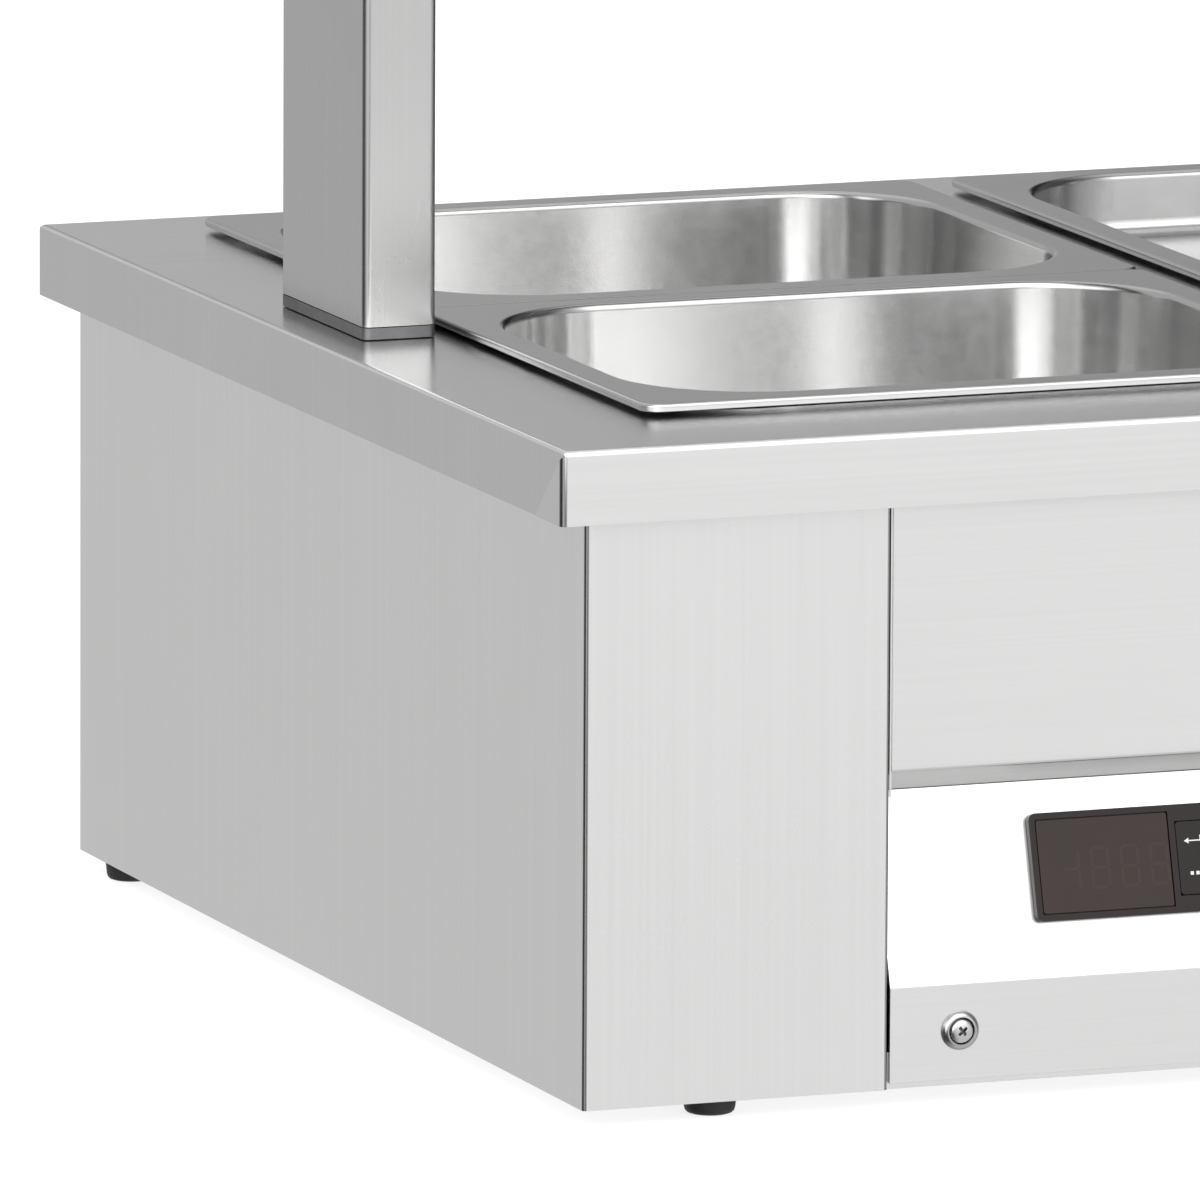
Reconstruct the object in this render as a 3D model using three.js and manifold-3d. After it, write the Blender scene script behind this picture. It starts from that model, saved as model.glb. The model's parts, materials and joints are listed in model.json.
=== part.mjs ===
// Counter-top heated serving unit (bain-marie) with an overhead gantry.
//
// A stainless cabinet on four rubber feet carries a counter sheet with three pan slots over one
// heated water well. Two rectangular posts stand on the counter and hold a lamp hood and a glass
// shelf. The front has a set-back, sloping control panel.
//
// Frame: millimetres, +Z up, operator's side at -Y, origin under the middle of the unit at the
// level of the soles of its feet.

import * as THREE from 'three';
import { mergeVertices } from 'three/addons/utils/BufferGeometryUtils.js';
import Module from 'manifold-3d';

const wasm = await Module();
wasm.setup();

// ---------------------------------------------------------------- driving dimensions

const SHEET = 1.5; // sheet steel thickness
const GAP = 0.4; // clearance between pieces that touch on the real unit
const BEND = 2.5; // outer radius of the counter's bends
const CASE_BEND = 1.6; // outer radius of the cabinet's bends

// Counter and cabinet
const COUNTER_WIDTH = 1130;
const COUNTER_DEPTH = 631;
const APRON_HEIGHT = 30.4;
const TAB_THICKNESS = 0.8; // the front apron wraps round the corners as thin tabs
const TAB_LENGTH = 30;
const CABINET_HEIGHT = 269.5; // cabinet underside to counter top
const FOOT_HEIGHT = 8;
const SIDE_OVERHANG = 14.4;
const FRONT_OVERHANG = 10.8;
const CABINET_DEPTH = 607.3;
const FRONT_RETURN = 131; // width of the plain front end that each side panel wraps round
const REAR_RETURN = 20;
const STUB = 1; // how far a cutting tool runs past the face that it cuts
const SEAM = 0.8;
const CHEEK_DEPTH = 25; // the flange that closes the end of the set-back control panel
const TRAY_RETURN = 15;

// Sloping control panel, heights above the cabinet underside, set-backs from the front face
const FASCIA_BOTTOM = 129.8;
const SLOPE_TOP_HEIGHT = 118.4;
const SLOPE_TOP_SETBACK = 22;
const SLOPE_FOOT_HEIGHT = 41.5;
const PANEL_BOTTOM_HEIGHT = 2.6;

// Pans: slots in the Gastronorm 530 x 325 size, long side front to back
const SLOT_PITCH = 342;
const SLOT_WIDTH = 325;
const SLOT_LENGTH = 530;
const SLOT_MIDDLE_Y = 15;
const PAN_CLEARANCE = 0.6;
const PAN_RIM_TOP = 5.5; // height of a seated pan's rim above the counter
const OPENING_INSET = 9; // the opening in the counter is smaller than the slot by this, all round
const OPENING_CORNER = 38;
const DEEP_PAN = 100;
const TRAY_PAN = 27;

// Water well
const WELL_DEPTH = 150;
const WELL_HALF_WIDTH = 499;
const WELL_FRONT = -246;
const WELL_REAR = 276;
const WELL_FLANGE = 8;
const INSULATION = 10;

// Gantry
const POST_WIDTH = 32;
const POST_DEPTH = 100;
const POST_CORNER = 3.3;
const POST_WALL = 2;
const POST_INSET = 21.8; // counter's side edge to the post
const POST_MIDDLE_Y = 21.3;
const POST_FOOT_HEIGHT = 5.6;
const HOOD_CLEARANCE = 380; // counter to hood
const HOOD_HEIGHT = 46;
const HOOD_DEPTH = 160;
const SHELF_DEPTH = 340;
const SHELF_THICKNESS = 8;
const SHELF_SUPPORT_HEIGHT = 12;

// Drain, seen from behind at the right
const DRAIN_X = 430;
const DRAIN_Y = 190;
const DRAIN_BORE = 7.5;
const DRAIN_PIPE = 11;
const VALVE_Y = 256;
const VALVE_Z = 58;
const VALVE_HALF_LENGTH = 36.5;
const BALL_RADIUS = 12;
const RECESS_LOW = [380, 220, 24];
const RECESS_HIGH = [480, 300.6, 96];

// ---------------------------------------------------------------- derived positions

const counterTop = FOOT_HEIGHT + CABINET_HEIGHT;
const counterFront = -COUNTER_DEPTH / 2;
const cabinetFront = counterFront + FRONT_OVERHANG;
const cabinetRear = cabinetFront + CABINET_DEPTH;
const cabinetHalf = COUNTER_WIDTH / 2 - SIDE_OVERHANG;
const underCounter = counterTop - SHEET - GAP;
const seamX = cabinetHalf - FRONT_RETURN;
const wellBottom = underCounter - WELL_DEPTH;
const hoodBottom = counterTop + HOOD_CLEARANCE;
const hoodTop = hoodBottom + HOOD_HEIGHT;
const postX = COUNTER_WIDTH / 2 - POST_INSET - POST_WIDTH / 2;

// ---------------------------------------------------------------- finishes

const FINISH = {
  brushed: { color: 0xc9cbcc, roughness: 0.38, metalness: 1 },
  polished: { color: 0xd6d8da, roughness: 0.15, metalness: 1 },
  darkTrim: { color: 0x6d6e70, roughness: 0.6, metalness: 0.3 },
  rubber: { color: 0x141414, roughness: 0.8, metalness: 0 },
  wool: { color: 0xb9ab7c, roughness: 1, metalness: 0 },
  element: { color: 0x4a4542, roughness: 0.6, metalness: 0.8 },
  brass: { color: 0xb89a58, roughness: 0.35, metalness: 1 },
  bezel: { color: 0x231c1a, roughness: 0.45, metalness: 0 },
  window: { color: 0x3a2420, roughness: 0.15, metalness: 0 },
  key: { color: 0x1b1716, roughness: 0.5, metalness: 0 },
  blackPlastic: { color: 0x17181a, roughness: 0.5, metalness: 0 },
  greenRocker: { color: 0x2c7a3a, roughness: 0.35, metalness: 0 },
  redGrip: { color: 0xa3201c, roughness: 0.5, metalness: 0 },
  ivory: { color: 0xd9d3c2, roughness: 0.6, metalness: 0 },
  reflector: { color: 0xdfe1e3, roughness: 0.12, metalness: 1 },
  quartz: { color: 0xe9e4de, roughness: 0.1, metalness: 0 },
  glass: { color: 0xd8e6e2, roughness: 0.05, metalness: 0 },
};

// ---------------------------------------------------------------- shape helpers

const FEW_SIDES = 12; // for small round pieces
const SOME_SIDES = 16; // for the rest

// A closed three.js geometry as a manifold-3d solid.
function toSolid(geometry) {
  const bare = geometry.clone();
  bare.deleteAttribute('normal');
  bare.deleteAttribute('uv');
  const merged = mergeVertices(bare, 1e-4);
  const mesh = new wasm.Mesh({
    numProp: 3,
    vertProperties: merged.attributes.position.array,
    triVerts: new Uint32Array(merged.index.array),
  });
  return new wasm.Manifold(mesh);
}

// A manifold-3d solid as a three.js geometry.
function toGeometry(solid) {
  const mesh = solid.getMesh();
  const positions = new Float32Array(mesh.vertProperties);
  const geometry = new THREE.BufferGeometry();
  geometry.setAttribute('position', new THREE.BufferAttribute(positions, 3));
  geometry.setIndex(new THREE.BufferAttribute(new Uint32Array(mesh.triVerts), 1));
  geometry.computeVertexNormals();
  return geometry;
}

function cut(base, ...tools) {
  return toGeometry(tools.reduce((left, tool) => left.subtract(toSolid(tool)), toSolid(base)));
}

function join(...pieces) {
  return toGeometry(pieces.map(toSolid).reduce((whole, piece) => whole.add(piece)));
}

function common(...pieces) {
  return toGeometry(pieces.map(toSolid).reduce((shared, piece) => shared.intersect(piece)));
}

// A box given by its lowest and highest corners.
function boxBetween(low, high) {
  const [width, depth, height] = high.map((value, i) => value - low[i]);
  const box = new THREE.BoxGeometry(width, depth, height);
  return box.translate((low[0] + high[0]) / 2, (low[1] + high[1]) / 2, (low[2] + high[2]) / 2);
}

// A shape swept straight along an axis. The shape's own two axes are (Y, Z) for 'x',
// (X, Z) for 'y' and (X, Y) for 'z'.
function prism(shape, axis, from, to) {
  const geometry = new THREE.ExtrudeGeometry(shape, {
    depth: to - from,
    bevelEnabled: false,
    curveSegments: 3,
  });
  const turn = new THREE.Matrix4();
  if (axis === 'x') {
    turn.set(0, 0, 1, from, 1, 0, 0, 0, 0, 1, 0, 0, 0, 0, 0, 1);
  } else if (axis === 'y') {
    turn.set(1, 0, 0, 0, 0, 0, -1, to, 0, 1, 0, 0, 0, 0, 0, 1);
  } else {
    turn.makeTranslation(0, 0, from);
  }
  return geometry.applyMatrix4(turn);
}

function polygon(points) {
  return new THREE.Shape(points.map(([x, y]) => new THREE.Vector2(x, y)));
}

// A rectangle with round corners, given by its lowest and highest corners.
function roundedRectangle(x0, y0, x1, y1, radius) {
  const quarter = Math.PI / 2;
  const shape = new THREE.Shape();
  shape.absarc(x1 - radius, y1 - radius, radius, 0, quarter);
  shape.absarc(x0 + radius, y1 - radius, radius, quarter, 2 * quarter);
  shape.absarc(x0 + radius, y0 + radius, radius, 2 * quarter, 3 * quarter);
  shape.absarc(x1 - radius, y0 + radius, radius, 3 * quarter, 4 * quarter);
  return shape;
}

// A cylinder along an axis between two stations, round the line through `centre` (the two
// coordinates left over, in X, Y, Z order).
function rod(axis, centre, radius, from, to, sides = SOME_SIDES) {
  const cylinder = new THREE.CylinderGeometry(radius, radius, to - from, sides);
  const middle = (from + to) / 2;
  if (axis === 'x') {
    return cylinder.rotateZ(Math.PI / 2).translate(middle, centre[0], centre[1]);
  }
  if (axis === 'y') {
    return cylinder.translate(centre[0], middle, centre[1]);
  }
  return cylinder.rotateX(Math.PI / 2).translate(centre[0], centre[1], middle);
}

// A line of corners with each inner corner rounded to its own radius.
function roundedLine(corners, radii, steps = 3) {
  const line = [corners[0]];
  for (let i = 1; i < corners.length - 1; i += 1) {
    const into = corners[i].clone().sub(corners[i - 1]).normalize();
    const away = corners[i + 1].clone().sub(corners[i]).normalize();
    const turn = Math.atan2(into.cross(away), into.dot(away));
    const radius = radii[i];
    const reach = radius * Math.tan(Math.abs(turn) / 2);
    const start = corners[i].clone().addScaledVector(into, -reach);
    const side = Math.sign(turn) * radius;
    const centre = start.clone().add(new THREE.Vector2(-into.y * side, into.x * side));
    for (let k = 0; k <= steps; k += 1) {
      line.push(start.clone().rotateAround(centre, (turn * k) / steps));
    }
  }
  line.push(corners[corners.length - 1]);
  return line;
}

// The section of a bent sheet: its outer face follows `points`, and its thickness lies to the
// left of that line.
function bentSheet(points, thickness = SHEET, bend = CASE_BEND) {
  const outer = points.map(([x, y]) => new THREE.Vector2(x, y));
  const outerRadii = outer.map(() => bend);
  const innerRadii = outer.map(() => bend);
  const inner = outer.map((corner, i) => {
    const before = outer[Math.max(i - 1, 0)];
    const after = outer[Math.min(i + 1, outer.length - 1)];
    const into = i === 0 ? after.clone().sub(corner) : corner.clone().sub(before);
    const away = i === outer.length - 1 ? into.clone() : after.clone().sub(corner);
    into.normalize();
    away.normalize();
    const turn = Math.atan2(into.cross(away), into.dot(away));
    if (turn > 0) {
      innerRadii[i] = bend - thickness;
    } else {
      outerRadii[i] = Math.max(bend - thickness, thickness / 4);
      innerRadii[i] = outerRadii[i] + thickness;
    }
    const along = into.clone().add(away).normalize();
    const reach = thickness / Math.cos(turn / 2);
    return corner.clone().add(new THREE.Vector2(-along.y * reach, along.x * reach));
  });
  const face = roundedLine(outer, outerRadii);
  const back = roundedLine(inner, innerRadii).reverse();
  return new THREE.Shape([...face, ...back]);
}

// A skin through horizontal loops of equal point count, with its first and last loop capped.
// The loops run anticlockwise seen from above, and the skin climbs on the outside first.
function loft(loops) {
  const count = loops[0].length;
  const positions = loops.flat().flatMap((point) => [point.x, point.y, point.z]);
  const triangles = [];
  for (let level = 0; level < loops.length - 1; level += 1) {
    for (let i = 0; i < count; i += 1) {
      const next = (i + 1) % count;
      const a = level * count + i;
      const b = level * count + next;
      const c = a + count;
      const d = b + count;
      triangles.push(a, b, d, a, d, c);
    }
  }
  const last = (loops.length - 1) * count;
  for (let i = 1; i < count - 1; i += 1) {
    triangles.push(0, i + 1, i);
    triangles.push(last, last + i, last + i + 1);
  }
  const geometry = new THREE.BufferGeometry();
  geometry.setAttribute('position', new THREE.Float32BufferAttribute(positions, 3));
  geometry.setIndex(triangles);
  return geometry;
}

// One loop of a loft: a rectangle with round corners at height z.
function rectangleLoop(halfX, halfY, radius, z, steps = 4) {
  const loop = [];
  for (let corner = 0; corner < 4; corner += 1) {
    const sideX = corner === 0 || corner === 3 ? 1 : -1;
    const sideY = corner < 2 ? 1 : -1;
    for (let k = 0; k <= steps; k += 1) {
      const angle = ((corner + k / steps) * Math.PI) / 2;
      const x = sideX * (halfX - radius) + radius * Math.cos(angle);
      const y = sideY * (halfY - radius) + radius * Math.sin(angle);
      loop.push(new THREE.Vector3(x, y, z));
    }
  }
  return loop;
}

// A turned piece along +Y from [radius, y] points.
function turned(points, sides = SOME_SIDES) {
  return new THREE.LatheGeometry(
    points.map(([radius, y]) => new THREE.Vector2(radius, y)),
    sides,
  );
}

// ---------------------------------------------------------------- the assembly

const unit = new THREE.Group();

function addPart(name, geometry, finish, parent = unit) {
  const mesh = new THREE.Mesh(geometry, new THREE.MeshStandardMaterial(finish));
  mesh.name = name;
  parent.add(mesh);
  return mesh;
}

const SIDES = [
  ['left', -1],
  ['right', 1],
];
const SLOTS = [-SLOT_PITCH, 0, SLOT_PITCH];

// ---- counter

function makeCounter() {
  const halfX = COUNTER_WIDTH / 2;
  const halfY = COUNTER_DEPTH / 2;
  const sideX = halfX - TAB_THICKNESS;
  const bottom = counterTop - APRON_HEIGHT;
  // A rectangle whose two top corners are rounded: its lower corners lie below the apron.
  const hump = (half) =>
    roundedRectangle(-half, bottom - 2 * BEND, half, counterTop, BEND);
  const acrossX = prism(hump(halfY), 'x', -halfX, halfX);
  const acrossY = prism(hump(sideX), 'y', -halfY, halfY);
  const plan = prism(roundedRectangle(-halfX, -halfY, halfX, halfY, BEND), 'z', bottom, counterTop);
  const block = common(acrossX, acrossY, plan);

  const wedge = polygon([
    [-halfY - STUB, bottom],
    [-halfY + TAB_LENGTH, bottom],
    [-halfY + STUB, counterTop - BEND],
    [-halfY - STUB, counterTop - BEND],
  ]);
  const tabs = common(prism(wedge, 'x', -halfX, halfX), acrossX, plan);

  const hollow = boxBetween(
    [-sideX + SHEET, -halfY + SHEET, bottom - STUB],
    [sideX - SHEET, halfY - SHEET, counterTop - SHEET],
  );
  const openings = SLOTS.map((x) => {
    const reachX = SLOT_WIDTH / 2 - OPENING_INSET;
    const reachY = SLOT_LENGTH / 2 - OPENING_INSET;
    const shape = roundedRectangle(
      x - reachX,
      SLOT_MIDDLE_Y - reachY,
      x + reachX,
      SLOT_MIDDLE_Y + reachY,
      OPENING_CORNER,
    );
    return prism(shape, 'z', counterTop - 2 * SHEET, counterTop + SHEET);
  });
  return cut(join(block, tabs), hollow, ...openings);
}

addPart('countertop', makeCounter(), FINISH.brushed);

// ---- cabinet sides, each wrapping round the front end and a little way round the rear

// The right side panel; turned over, it is the left one. Its cheek is notched over the base tray.
function makeSidePanel(side) {
  const plan = [
    [seamX, cabinetFront + CHEEK_DEPTH],
    [seamX, cabinetFront],
    [cabinetHalf, cabinetFront],
    [cabinetHalf, cabinetRear],
    [cabinetHalf - REAR_RETURN, cabinetRear],
  ];
  const notchHeight = TRAY_RETURN + GAP;
  const notchLow = side > 0 ? FOOT_HEIGHT : underCounter - notchHeight;
  const notch = boxBetween(
    [seamX - STUB, cabinetFront + SHEET + GAP / 2, notchLow],
    [seamX + 2 * SHEET, cabinetFront + CHEEK_DEPTH + STUB, notchLow + notchHeight],
  );
  const panel = cut(prism(bentSheet(plan), 'z', FOOT_HEIGHT, underCounter), notch);
  return side > 0 ? panel : panel.rotateY(Math.PI).translate(0, 0, FOOT_HEIGHT + underCounter);
}

for (const [label, side] of SIDES) {
  addPart(`side_panel_${label}`, makeSidePanel(side), FINISH.brushed);
}

// ---- upper fascia with its sloping return, and the control panel below it

const fasciaHalf = seamX - SEAM;
const slopeTopY = cabinetFront + SLOPE_TOP_SETBACK;
const slopeTopZ = FOOT_HEIGHT + SLOPE_TOP_HEIGHT;
const slopeFootZ = FOOT_HEIGHT + SLOPE_FOOT_HEIGHT;
const slopeAngle = Math.atan2(SLOPE_TOP_SETBACK, SLOPE_TOP_HEIGHT - SLOPE_FOOT_HEIGHT);

function makeFascia() {
  const section = bentSheet([
    [cabinetFront, underCounter],
    [cabinetFront, FOOT_HEIGHT + FASCIA_BOTTOM],
    [slopeTopY, slopeTopZ + GAP / 2],
  ]);
  return prism(section, 'x', -fasciaHalf, fasciaHalf);
}

addPart('front_fascia', makeFascia(), FINISH.brushed);

// The controls sit in a frame of their own: +X along the panel, +Z up the slope and -Y out of it,
// with its origin on the lower bend, in the middle of the panel.
const slope = new THREE.Group();
slope.position.set(0, cabinetFront, slopeFootZ);
slope.rotation.x = -slopeAngle;
unit.add(slope);
slope.updateMatrix();

const CONTROLLER = { x: -353.8, z: 22.4, width: 97, height: 44, bezel: 3, depth: 45, corner: 3 };
const SWITCH = { width: 24, height: 32, bezel: 2, depth: 22, corner: 2 };
const SWITCHES = [
  { label: 'heat_switch', x: -205, finish: FINISH.greenRocker },
  { label: 'lamp_switch', x: -165, finish: FINISH.blackPlastic },
];
const SWITCH_Z = CONTROLLER.z + CONTROLLER.height / 2;
const CUTOUT_MARGIN = 2; // a bezel overlaps its cutout by this
const BODY_MARGIN = 2.6; // and the body behind it is smaller by this
const SCREW_X = 388.6;
const SCREW_Z = FOOT_HEIGHT + 22.6;
const SCREW_HOLE = 3;

function inset(frame, margin, low, high) {
  return boxBetween(
    [frame.x + margin, low, frame.z + margin],
    [frame.x + frame.width - margin, high, frame.z + frame.height - margin],
  );
}

function switchFrame(control) {
  return { ...SWITCH, x: control.x - SWITCH.width / 2, z: SWITCH_Z - SWITCH.height / 2 };
}

function makeControlPanel() {
  const section = bentSheet([
    [slopeTopY, slopeTopZ],
    [cabinetFront, slopeFootZ],
    [cabinetFront, FOOT_HEIGHT + PANEL_BOTTOM_HEIGHT],
  ]);
  const panel = prism(section, 'x', -fasciaHalf, fasciaHalf);
  const frames = [CONTROLLER, ...SWITCHES.map(switchFrame)];
  const cutouts = frames.map((frame) =>
    inset(frame, CUTOUT_MARGIN, -2 * SHEET, 3 * SHEET).applyMatrix4(slope.matrix),
  );
  const screwHoles = SIDES.map(([, side]) =>
    rod(
      'y',
      [side * SCREW_X, SCREW_Z],
      SCREW_HOLE,
      cabinetFront - SHEET,
      cabinetFront + 2 * SHEET,
      FEW_SIDES,
    ),
  );
  return cut(panel, ...cutouts, ...screwHoles);
}

addPart('control_panel', makeControlPanel(), FINISH.brushed);

// ---- temperature controller

const RIM = 3; // the bezel's plain border
const WINDOW = {
  x: CONTROLLER.x + RIM,
  z: CONTROLLER.z + RIM,
  width: 57,
  height: 38,
  thickness: 1,
  corner: 1,
};
const KEY = { width: 14.6, thickness: 2.2, proud: 0.3, pocket: 3.2, corner: 1.5 };
const KEY_COLUMNS = [CONTROLLER.x + 63, CONTROLLER.x + 79.2];
const SMALL_KEY = 11.4;
const KEYS = [
  ['key_down', 1, 4, SMALL_KEY], // column, lower edge above the bezel's, height
  ['key_standby', 1, 16.3, SMALL_KEY],
  ['key_set', 0, 6.8, 30.4],
  ['key_up', 1, 28.6, SMALL_KEY],
];

function keyFrame([, column, rise, height]) {
  return { ...KEY, x: KEY_COLUMNS[column], z: CONTROLLER.z + rise, height };
}

function roundedPlate(frame, low, high, corner) {
  const right = frame.x + frame.width;
  const top = frame.z + frame.height;
  return prism(roundedRectangle(frame.x, frame.z, right, top, corner), 'y', low, high);
}

const bezelFace = -CONTROLLER.bezel - GAP;

function makeControllerHousing() {
  const bezel = roundedPlate(CONTROLLER, bezelFace, -GAP, CONTROLLER.corner);
  const body = inset(CONTROLLER, BODY_MARGIN, -2 * GAP, CONTROLLER.depth);
  const windowPocket = inset(WINDOW, -GAP, bezelFace - STUB, bezelFace + WINDOW.thickness + GAP);
  const keyPockets = KEYS.map((key) =>
    inset(keyFrame(key), 0, bezelFace - STUB, bezelFace + KEY.pocket),
  );
  return cut(join(bezel, body), windowPocket, ...keyPockets);
}

addPart('controller_housing', makeControllerHousing(), FINISH.bezel, slope);

const windowBack = bezelFace + WINDOW.thickness;
const windowPlate = roundedPlate(WINDOW, bezelFace, windowBack, WINDOW.corner);
addPart('controller_window', windowPlate, FINISH.window, slope);

for (const key of KEYS) {
  const pocket = keyFrame(key);
  const frame = {
    x: pocket.x + GAP / 2,
    z: pocket.z + GAP / 2,
    width: pocket.width - GAP,
    height: pocket.height - GAP,
  };
  const low = bezelFace - KEY.proud;
  addPart(key[0], roundedPlate(frame, low, low + KEY.thickness, KEY.corner), FINISH.key, slope);
}

// ---- rocker switches, standing tipped to "off"

const ROCKER = {
  width: 15,
  halfLength: 10.4,
  tilt: THREE.MathUtils.degToRad(10),
  pivotDepth: 3,
  face: 7.5,
  hollow: 1.2,
  lip: 2,
  root: 3,
  waist: 4,
};
const CAVITY = { width: 16.4, halfLength: 12, depth: 10 };

for (const control of SWITCHES) {
  const frame = switchFrame(control);
  const face = -SWITCH.bezel - GAP;
  const bezel = roundedPlate(frame, face, -GAP, SWITCH.corner);
  const body = inset(frame, BODY_MARGIN, -2 * GAP, SWITCH.depth);
  const cavity = boxBetween(
    [control.x - CAVITY.width / 2, face - STUB, SWITCH_Z - CAVITY.halfLength],
    [control.x + CAVITY.width / 2, CAVITY.depth, SWITCH_Z + CAVITY.halfLength],
  );
  addPart(`${control.label}_housing`, cut(join(bezel, body), cavity), FINISH.blackPlastic, slope);

  // Section in (Y, Z) about the rocker's pivot: a hollowed face and a tapering root.
  const { halfLength: half, face: front, hollow, lip, root, waist } = ROCKER;
  const section = polygon([
    [-root, half],
    [root, waist],
    [root, -waist],
    [-root, -half],
    [-front, -half],
    [-front, lip - half],
    [hollow - front, 0],
    [-front, half - lip],
    [-front, half],
  ]);
  const rocker = prism(section, 'x', -ROCKER.width / 2, ROCKER.width / 2);
  const mesh = addPart(`${control.label}_rocker`, rocker, control.finish, slope);
  mesh.position.set(control.x, ROCKER.pivotDepth, SWITCH_Z);
  mesh.rotation.x = ROCKER.tilt;
}

// ---- screws of the control panel, each in a cup washer

const CUP = [
  [3.2, 0],
  [8, 0],
  [8, 0.5],
  [6.9, 1.6],
  [5.6, 2.1],
  [5.2, 1.6],
  [3.2, 0.9],
  [3.2, 0],
];
const RECESS_CROSS = { reach: 2.4, half: 0.45, floor: 2, turn: Math.PI / 5 };
const SCREW = [
  [0, -9],
  [1.9, -9],
  [2.2, -8],
  [2.2, 0.9],
  [4.6, 2.2],
  [3.6, 2.9],
  [1.8, 3.3],
  [0, 3.4],
];

for (const [label, side] of SIDES) {
  // Turned along +Y, then faced towards the operator.
  const place = (geometry) =>
    geometry.rotateZ(Math.PI).translate(side * SCREW_X, cabinetFront - GAP, SCREW_Z);
  addPart(`cup_washer_${label}`, place(turned(CUP)), FINISH.polished);
  const { reach, half, floor, turn } = RECESS_CROSS;
  const slots = [0, Math.PI / 2].map((angle) =>
    boxBetween([-reach, floor, -half], [reach, 2 * floor, half]).rotateY(angle + turn),
  );
  addPart(`panel_screw_${label}`, place(cut(turned(SCREW), ...slots)), FINISH.polished);
}

// ---- rear panel, with louvres, the drain recess and the cable inlet

const GLAND_X = -470;
const GLAND_Z = 42;
const GLAND_HOLE = 8.4;
const LOUVRE = { count: 6, length: 80, height: 4, pitch: 12, x: -420, z: 150 };

function makeRearPanel() {
  const half = cabinetHalf - REAR_RETURN - SEAM;
  const sheet = boxBetween([-half, cabinetRear - SHEET, FOOT_HEIGHT], [half, cabinetRear, underCounter]);
  const through = [cabinetRear - 2 * SHEET, cabinetRear + SHEET];
  const louvres = [];
  for (let i = 0; i < LOUVRE.count; i += 1) {
    const z = LOUVRE.z + i * LOUVRE.pitch;
    louvres.push(
      boxBetween([LOUVRE.x, through[0], z], [LOUVRE.x + LOUVRE.length, through[1], z + LOUVRE.height]),
    );
  }
  const recess = boxBetween(
    [RECESS_LOW[0] + SHEET, through[0], RECESS_LOW[2] + SHEET],
    [RECESS_HIGH[0] - SHEET, through[1], RECESS_HIGH[2] - SHEET],
  );
  const inlet = rod('y', [GLAND_X, GLAND_Z], GLAND_HOLE, ...through);
  return cut(sheet, ...louvres, recess, inlet);
}

addPart('rear_panel', makeRearPanel(), FINISH.brushed);

const GLAND = [
  [4.5, -9],
  [11, -9],
  [11, -3],
  [8, -3],
  [8, GAP],
  [12, GAP],
  [12, 5],
  [9.5, 6],
  [9, 9.5],
  [7, 11],
  [4.5, 11],
  [4.5, -9],
];
addPart('cable_gland', turned(GLAND).translate(GLAND_X, cabinetRear, GLAND_Z), FINISH.blackPlastic);

// ---- base tray and feet

const FEET = [
  ['front_left', -488.6, -284.7],
  ['front_right', 488.6, -284.7],
  ['rear_left', -538.1, 271.3],
  ['rear_right', 538.1, 271.3],
];
const STEM_RADIUS = 3;
const STEM_LENGTH = 6;

function makeBaseTray() {
  const half = cabinetHalf - SHEET - GAP;
  const front = cabinetFront + SHEET + GAP;
  const rear = cabinetRear - SHEET - GAP;
  const outer = boxBetween([-half, front, FOOT_HEIGHT], [half, rear, FOOT_HEIGHT + TRAY_RETURN]);
  const hollow = boxBetween(
    [-half + SHEET, front + SHEET, FOOT_HEIGHT + SHEET],
    [half - SHEET, rear - SHEET, FOOT_HEIGHT + TRAY_RETURN + STUB],
  );
  const holeTop = FOOT_HEIGHT + 2 * SHEET;
  const holes = FEET.map(([, x, y]) =>
    rod('z', [x, y], STEM_RADIUS + GAP, FOOT_HEIGHT - STUB, holeTop, FEW_SIDES),
  );
  return cut(outer, hollow, ...holes);
}

addPart('base_tray', makeBaseTray(), FINISH.brushed);

for (const [label, x, y] of FEET) {
  const foot = turned([
    [0, 0],
    [8, 0],
    [9.6, 0.8],
    [10.4, 2.6],
    [11, FOOT_HEIGHT - GAP],
    [STEM_RADIUS, FOOT_HEIGHT - GAP],
    [STEM_RADIUS, FOOT_HEIGHT + STEM_LENGTH],
    [0, FOOT_HEIGHT + STEM_LENGTH],
  ]);
  addPart(`rubber_foot_${label}`, foot.rotateX(Math.PI / 2).translate(x, y, 0), FINISH.rubber);
}

// ---- water well, its heating and insulation

const PROBE_X = -300;
const PROBE_Z = wellBottom + 14;
const PROBE_HOLE = 3.4;
const SPIGOT = 9;

function makeWell() {
  const half = WELL_HALF_WIDTH;
  const flangeLow = [-half - WELL_FLANGE, WELL_FRONT - WELL_FLANGE, underCounter - SHEET];
  const flangeHigh = [half + WELL_FLANGE, WELL_REAR + WELL_FLANGE, underCounter];
  const shell = boxBetween(
    [-half - SHEET, WELL_FRONT - SHEET, wellBottom],
    [half + SHEET, WELL_REAR + SHEET, underCounter],
  );
  const drain = [DRAIN_X, DRAIN_Y];
  const spigot = rod('z', drain, DRAIN_PIPE, wellBottom - SPIGOT, wellBottom + SHEET / 2);
  const hollow = boxBetween(
    [-half, WELL_FRONT, wellBottom + SHEET],
    [half, WELL_REAR, underCounter + STUB],
  );
  const bore = rod('z', drain, DRAIN_BORE, wellBottom - SPIGOT - STUB, wellBottom + 2 * SHEET);
  const probeHole = rod(
    'y',
    [PROBE_X, PROBE_Z],
    PROBE_HOLE,
    WELL_FRONT - 2 * SHEET,
    WELL_FRONT + SHEET,
    FEW_SIDES,
  );
  return cut(join(boxBetween(flangeLow, flangeHigh), shell, spigot), hollow, bore, probeHole);
}

addPart('well_tank', makeWell(), FINISH.polished);

const insulationTop = underCounter - 25;
const slabTop = wellBottom - 12;
const slabBottom = slabTop - INSULATION;
const SLACK = 1; // between the well and its insulation
const PROBE_HEAD_HOLE = 7;

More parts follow.
